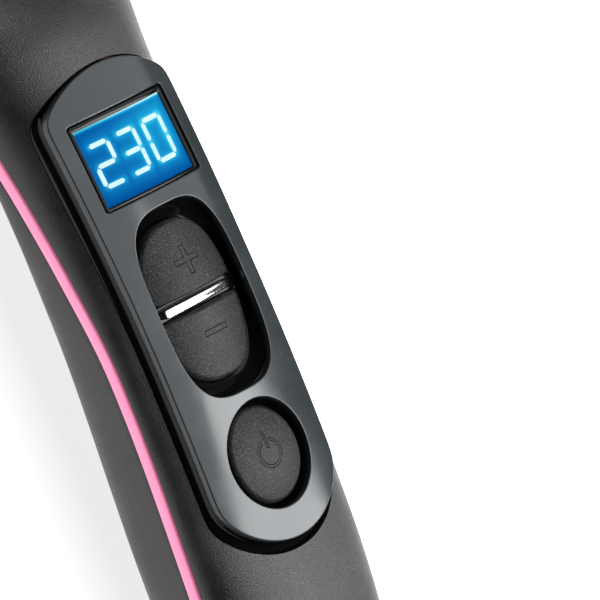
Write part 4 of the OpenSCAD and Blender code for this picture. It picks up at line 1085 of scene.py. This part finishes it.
def makeCombFrame():
    h = head
    rowsY = [rowY(i) for i in range(h["rows"])]

    def ring(inset, z, scoop=0.0):
        points = []
        for x, y, _ in headLoop(inset, z, 480):
            near = min(abs(y - row) for row in rowsY)
            dent = scoop * math.exp(-(near / 1.9) ** 2) if abs(x) > 10 else 0.0
            s = 1 - dent / max(abs(x), 1)
            points.append((x / max(s, 0.5) if dent else x, y, z))
        return points

    profile = [(h["rim"], h["frameZ"], 0), (h["rim"], 19.5, 0), (h["rim"] + 0.08, 19.75, 0), (h["rim"] + 0.3, 19.98, 0),
               (h["rim"] + 1.0, 20.42, 0), (h["rim"] + 1.3, 20.56, 0), (h["rim"] + 1.7, h["frameTop"], 0),
               (h["frameIn"] - 1.5, h["frameTop"], 0.5), (h["frameIn"] - 0.7, h["frameTop"] - 0.1, 1.0),
               (h["frameIn"] - 0.2, h["frameTop"] - 0.35, 1.35), (h["frameIn"], h["frameTop"] - 0.8, 1.5),
               (h["frameIn"], h["frameZ"], 1.5)]
    bm = bmesh.new()
    ringStack(bm, [ring(*step) for step in profile])
    weld(bm)
    base = h["frameTop"] - 0.15
    for y in rowsY:
        for side in (-1, 1):
            x, r = side * headX(y, h["tineIn"]), h["tineR"]
            skirt = [(r + 0.95, base), (r + 0.55, base + 0.22), (r + 0.28, base + 0.65), (r + 0.1, base + 1.3),
                     (r, base + 2.2), (r * 0.94, h["tineTop"] - r)]
            skirt += [(r * 0.94 * math.cos(math.radians(a)), h["tineTop"] - r + r * math.sin(math.radians(a)))
                      for a in (30, 55, 75)]
            closedStack(bm, [circleAt(x, y, z, radius, 20) for radius, z in [(r + 0.95, base - 0.6)] + skirt])
    bmesh.ops.recalc_face_normals(bm, faces=bm.faces)
    return finishPiece(toObject("combFrame", bm), "casing", [frameMaterial], ["comb_frame"], 45)


def plateMaterial():
    # glossy ceramic coat coloured by height: painted shade makes it deep red low in the valleys, it is hot pink on the
    # flanks, a painted highlight makes it pale at the tops, and it turns pale again right at the bottom edge
    material, tree, shader, place = baseMaterial("pink ceramic coat", Coat_Weight=0.7, Coat_Roughness=0.06,
                                                 Specular_IOR_Level=0.5)
    split = tree.nodes.new("ShaderNodeSeparateXYZ")
    tree.links.new(place, split.inputs[0])
    # painted shade and highlight: the colour follows the height, dark red low down and paler high up
    rise = rangeNode(tree, split.outputs["Z"], 0.0192, 0.0318, 0, 1, False)
    cloud = noiseNode(tree, place, 3.5, 3.0)
    level = mathNode(tree, "MULTIPLY_ADD", cloud, 0.16, mathNode(tree, "SUBTRACT", rise, 0.08))
    tone = rampNode(tree, level, [(0.0, (0.82, 0.16, 0.27)), (0.05, (0.60, 0.012, 0.075)), (0.3, (0.70, 0.008, 0.075)),
                                  (0.62, (0.86, 0.010, 0.125)), (0.9, (0.90, 0.03, 0.18)), (1.0, (0.93, 0.22, 0.36))])
    look = placeGroup(tree, smudgeGroup, Size=160.0)
    dust = mathNode(tree, "MULTIPLY", look.outputs["Dust"], 0.5)
    tree.links.new(mixColor(tree, dust, tone, (0.95, 0.45, 0.55)), shader.inputs["Base Color"])
    tree.links.new(rangeNode(tree, look.outputs["Smudge"], 0, 1, 0.13, 0.24), shader.inputs["Roughness"])
    bumpOn(tree, shader, noiseNode(tree, place, 1.6, 3.0), 0.05)
    return material


def makePlate():
    h = head
    bm = bmesh.new()
    rimIn, clear = h["plateIn"], 0.8 * h["postR"]       # a fin keeps its full height this far from a tooth's middle
    closedStack(bm, [headLoop(rimIn + inset, z) for inset, z in (
        (-2.2, 16.8), (-2.2, 18.3), (0, 18.3), (0, h["floorZ"] - 0.3), (0.1, h["floorZ"] - 0.09), (0.32, h["floorZ"]))])

    def dip(x, teeth):
        if x <= teeth[0] or x >= teeth[-1]:
            return 0.0
        k = max(j for j in range(len(teeth)) if x >= teeth[j])
        half = (teeth[k + 1] - teeth[k]) / 2
        d = min(x - teeth[k], teeth[k + 1] - x)
        return smooth((d - clear) / (half - clear))

    for i in range(h["rows"]):
        teeth, end, y = rowTeeth(i), finEnd(i), rowY(i)
        last = teeth[-1]
        count = math.ceil(2 * end / h["station"])
        rings = []
        for k in range(count + 1):
            x = mix(-end, end, k / count)
            beyond = abs(x) > last
            share = clamp((abs(x) - last - clear) / (end - last - clear), 0, 1) if beyond else 0
            height = mix(h["toothH"], 0.9, share ** 0.8) if beyond else mix(h["toothH"], h["saddleH"], dip(x, teeth))
            # the wall is widest round a tooth, like a post, and pinched between two
            near = min(abs(x - t) for t in teeth)
            post = math.sqrt(max(h["postR"] ** 2 - near ** 2, 0))
            web = mix(h["postR"] * 0.8, h["finT"] / 2 - 0.75, smooth((near - 1.2) / 2.6))
            w = max(post, web)
            sway = 0.35 * math.sin(x * 0.62 + i * 1.3)      # the fins weave a little along the row
            b = min(1.1, height * 0.45)
            sway *= 1 - smooth((2.8 - near) / 1.6)
            right = [(w * 0.3, height), (w * 0.72, height - b * 0.08), (w * 0.93, height - b * 0.42),
                     (w, max(height - b, 1.0)), (w, 0.9), (w + 0.06, 0.35), (w + 0.25, 0)]
            section = [(-q, z) for q, z in reversed(right)] + right
            low = h["floorZ"] - 0.2
            rings.append([(x, y + sway * clamp(z / 4, 0, 1) + q, low + z + (0.2 if z > 0 else 0))
                          for q, z in section])
        closedStack(bm, rings)
        for t in teeth:      # a round rim stands on each tooth, and the ball sits in it
            top = h["floorZ"] + h["toothH"]
            closedStack(bm, [circleAt(t, y, top + rise, h["postR"] - inset) for rise, inset in (
                (-3.0, 0.06), (-0.1, 0.02), (0.16, 0.1), (0.26, 0.28), (0.2, 0.45), (-0.2, 0.6))])
    weld(bm)
    return finishPiece(toObject("heatingPlate", bm), "casing", [plateMaterial()], ["heating_plate"], 50)


def makeTips():
    h = head
    bm = bmesh.new()
    for i in range(h["rows"]):
        for x in rowTeeth(i):
            ball = bmesh.ops.create_uvsphere(bm, u_segments=24, v_segments=14, radius=h["ballR"])["verts"]
            bmesh.ops.translate(bm, vec=(x, rowY(i), h["floorZ"] + h["toothH"] + h["ballZ"]), verts=ball)
    return finishPiece(toObject("ballTips", bm), "casing", [tipMaterial], ["ball_tips"], 60)


makeCombFrame()
makePlate()
makeTips()
print("head made")

# ---- tail: bush and swivel inlet
bushMaterial = glossPlastic("bush nylon", (0.011, 0.011, 0.012), (0.018, 0.018, 0.02), 0.32)


def spunPiece(name, body, profile, midZ, material, node, steps=64):
    # profile of [radius, y] points turned about the handle's axis, closed on itself
    bm = bmesh.new()
    verts = [bm.verts.new((r, y, 0)) for r, y in profile]
    lines = [bm.edges.new((a, b)) for a, b in zip(verts, verts[1:] + verts[:1])]
    bmesh.ops.spin(bm, geom=verts + lines, cent=(0, 0, 0), axis=(0, 1, 0), angle=2 * math.pi, steps=steps,
                   use_merge=True)
    bmesh.ops.translate(bm, vec=(0, 0, midZ), verts=bm.verts)
    weld(bm)
    return finishPiece(toObject(name, bm), body, [material], [node], 35)


def makeTail():
    s = swivel
    y = s["y"]
    bore, r, wide = s["swivelD"] / 2 + 0.1, s["bushD"] / 2, s["collarD"] / 2
    boxLow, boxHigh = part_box("tail_bush")
    inner, end = boxLow.y / mm, boxHigh.y / mm
    spunPiece("tailBush", "casing",
              [(bore, end), (bore, inner + 0.3), (bore + 0.12, inner + 0.08), (bore + 0.35, inner), (wide - 0.5, inner),
               (wide - 0.15, inner + 0.15), (wide, inner + 0.5), (wide, y + s["collarL"]), (r, y + s["collarL"]),
               (r, end)], s["z"], bushMaterial, "tail_bush")
    boxLow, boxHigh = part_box("cord_swivel")
    out, back = boxLow.y / mm, boxHigh.y / mm
    rad, hole, flange, core = s["swivelD"] / 2, s["bore"] / 2, s["bushD"] / 2 - 0.3, s["coreD"] / 2
    spunPiece("cordSwivel", "swivel",
              [(hole, out + s["boreL"]), (hole, out + 0.7), (hole + 0.12, out + 0.25), (hole + 0.5, out),
               (rad - 1.3, out), (rad - 0.85, out + 0.2), (rad - 0.62, out + 0.7), (rad - 0.25, out + 2.2),
               (rad - 0.06, out + 2.8), (rad, out + 3.3), (rad, out + s["inL"] - s["flangeL"]),
               (flange, out + s["inL"] - s["flangeL"]), (flange, out + s["inL"]), (core, out + s["inL"]),
               (core, back), (0.0, back), (0.0, out + s["boreL"])],
              s["z"], bushMaterial, "cord_swivel")


makeTail()
print("tail made")


# ---- screws, boards and the other inner nodes keep their solids and get their finishes
def innerMaterial(name, color, lift, roughness, metallic, size):
    material, tree, shader, place = baseMaterial(name, Metallic=metallic)
    cloud = noiseNode(tree, place, size, 3.0)
    tree.links.new(rampNode(tree, cloud, [(0.3, color), (0.7, lift)]), shader.inputs["Base Color"])
    tree.links.new(rangeNode(tree, cloud, 0.25, 0.75, roughness * 0.8, roughness * 1.2), shader.inputs["Roughness"])
    bumpOn(tree, shader, cloud, 0.01)
    return material


innerFinishes = [       # name, two tones, roughness, metallic, grain in millimetres, and the nodes that wear it
    ("zinc plated steel", (0.42, 0.43, 0.45), (0.62, 0.63, 0.65), 0.3, 1.0, 0.5,
     "tact_switches board_screws clamp_screws thermal_fuse casing_screws"),
    ("solder mask green", (0.01, 0.09, 0.035), (0.02, 0.14, 0.06), 0.35, 0.0, 0.8, "control_board power_board"),
    ("chip resin", (0.012, 0.012, 0.013), (0.03, 0.03, 0.032), 0.5, 0.0, 0.2, "board_chips triac"),
    ("brass", (0.72, 0.5, 0.2), (0.86, 0.64, 0.3), 0.25, 1.0, 0.9, "slip_rings contact_springs"),
    ("mica paper", (0.5, 0.43, 0.3), (0.68, 0.6, 0.46), 0.55, 0.0, 0.6, "insulation_sheet heat_shield"),
    ("alumina", (0.72, 0.71, 0.68), (0.84, 0.83, 0.8), 0.5, 0.0, 0.7, "heater_strips thermistor"),
    ("pressed aluminium", (0.6, 0.61, 0.62), (0.76, 0.77, 0.78), 0.32, 1.0, 1.6, "clamp_plate"),
    ("glass sleeve", (0.66, 0.64, 0.58), (0.8, 0.78, 0.72), 0.6, 0.0, 0.15, "heater_leads"),
    ("silicone lead", (0.42, 0.02, 0.02), (0.55, 0.04, 0.035), 0.4, 0.0, 0.6, "supply_leads board_leads"),
    ("capacitor sleeve", (0.01, 0.03, 0.16), (0.02, 0.05, 0.24), 0.3, 0.0, 0.8, "smoothing_capacitor varistor"),
    ("light guide", (0.78, 0.8, 0.82), (0.9, 0.92, 0.93), 0.3, 0.0, 2.0, "backlight"),
    ("holder plastic", (0.014, 0.014, 0.015), (0.03, 0.03, 0.032), 0.45, 0.0, 0.4, "display_holder contact_block")]
dressed = 0
for *look, wearers in innerFinishes:
    finish = innerMaterial(*look)
    for name in wearers.split():
        nodes[name].data.materials.clear()
        nodes[name].data.materials.append(finish)
        dressed += 1
print("inner nodes dressed:", dressed)

# ---- camera at the photograph's angle, measured in pixels of its 600 by 600 frame
shot = dict(turn=0.677748, tilt=-0.117277, roll=-0.392627, aimX=23.3683, aimY=-46.6729, aimZ=30.0, distance=1517.52,
            focal=8524.42, frame=600, sensor=36.0)


def makeCamera():
    c = shot
    back = Vector((-math.sin(c["turn"]) * math.cos(c["tilt"]), -math.sin(c["tilt"]),
                   math.cos(c["turn"]) * math.cos(c["tilt"])))
    side = (-back).cross(Vector((0, 1, 0))).normalized()
    up = side.cross(-back)
    right = side * math.cos(c["roll"]) + up * math.sin(c["roll"])
    up = -side * math.sin(c["roll"]) + up * math.cos(c["roll"])
    place = (Vector((c["aimX"], c["aimY"], c["aimZ"])) + back * c["distance"]) * mm
    data = bpy.data.cameras.new("camera")
    data.sensor_width = c["sensor"]
    data.lens = c["focal"] / c["frame"] * c["sensor"]
    data.clip_end = 20
    camera = bpy.data.objects.new("camera", data)
    camera.matrix_world = Matrix.Translation(place) @ Matrix((right, up, back)).transposed().to_4x4()
    bpy.context.scene.collection.objects.link(camera)
    bpy.context.scene.camera = camera


makeCamera()

# ---- pale floor and soft studio light
studio = dict(floor=(0.82, 0.82, 0.82), floorGlow=0.8, world=(0.86, 0.88, 0.92), worldPower=0.05,
              lamps=[("topLamp", (0.36, 0.16, 0.92), 1.0, 1.0, 1.3, 8.8),      # way, distance, two sides, power
                     ("tailLamp", (0.50, -0.38, 0.78), 1.2, 0.68, 0.8, 19)])


def makeStudio():
    bm = bmesh.new()
    bmesh.ops.create_grid(bm, x_segments=2, y_segments=2, size=4.0)
    mesh = bpy.data.meshes.new("floor")
    bm.to_mesh(mesh)
    bm.free()
    floor = bpy.data.objects.new("floor", mesh)
    bpy.context.scene.collection.objects.link(floor)
    material, tree, shader, place = baseMaterial("pale floor", Roughness=0.75, Specular_IOR_Level=0.2,
                                                 Emission_Color=(1, 1, 1, 1), Emission_Strength=studio["floorGlow"])
    tree.links.new(rampNode(tree, noiseNode(tree, place, 400, 2.0), [(0.3, studio["floor"]),
                            (0.7, tuple(v + 0.01 for v in studio["floor"]))]), shader.inputs["Base Color"])
    mesh.materials.append(material)
    world = bpy.data.worlds.new("studio")
    bpy.context.scene.world = world
    world.use_nodes = True
    tree = world.node_tree
    dim = tree.nodes["Background"]
    dim.inputs["Color"].default_value = (*studio["world"], 1)
    dim.inputs["Strength"].default_value = studio["worldPower"]
    pale = tree.nodes.new("ShaderNodeBackground")
    pale.inputs["Color"].default_value = (1, 1, 1, 1)
    seen = tree.nodes.new("ShaderNodeMixShader")      # the room is dim, and only its backdrop looks pale
    tree.links.new(tree.nodes.new("ShaderNodeLightPath").outputs["Is Camera Ray"], seen.inputs[0])
    tree.links.new(dim.outputs[0], seen.inputs[1])
    tree.links.new(pale.outputs[0], seen.inputs[2])
    tree.links.new(seen.outputs[0], tree.nodes["World Output"].inputs[0])
    for name, way, distance, width, depth, power in studio["lamps"]:
        data = bpy.data.lights.new(name, "AREA")
        data.shape = "RECTANGLE"
        data.size, data.size_y, data.energy = width, depth, power
        lamp = bpy.data.objects.new(name, data)
        aim = Vector(way).normalized()
        lamp.matrix_world = Matrix.Translation(aim * distance) @ aim.to_track_quat("Z", "Y").to_matrix().to_4x4()
        bpy.context.scene.collection.objects.link(lamp)
    bpy.context.scene.view_settings.view_transform = "Standard"


makeStudio()
print("studio made")
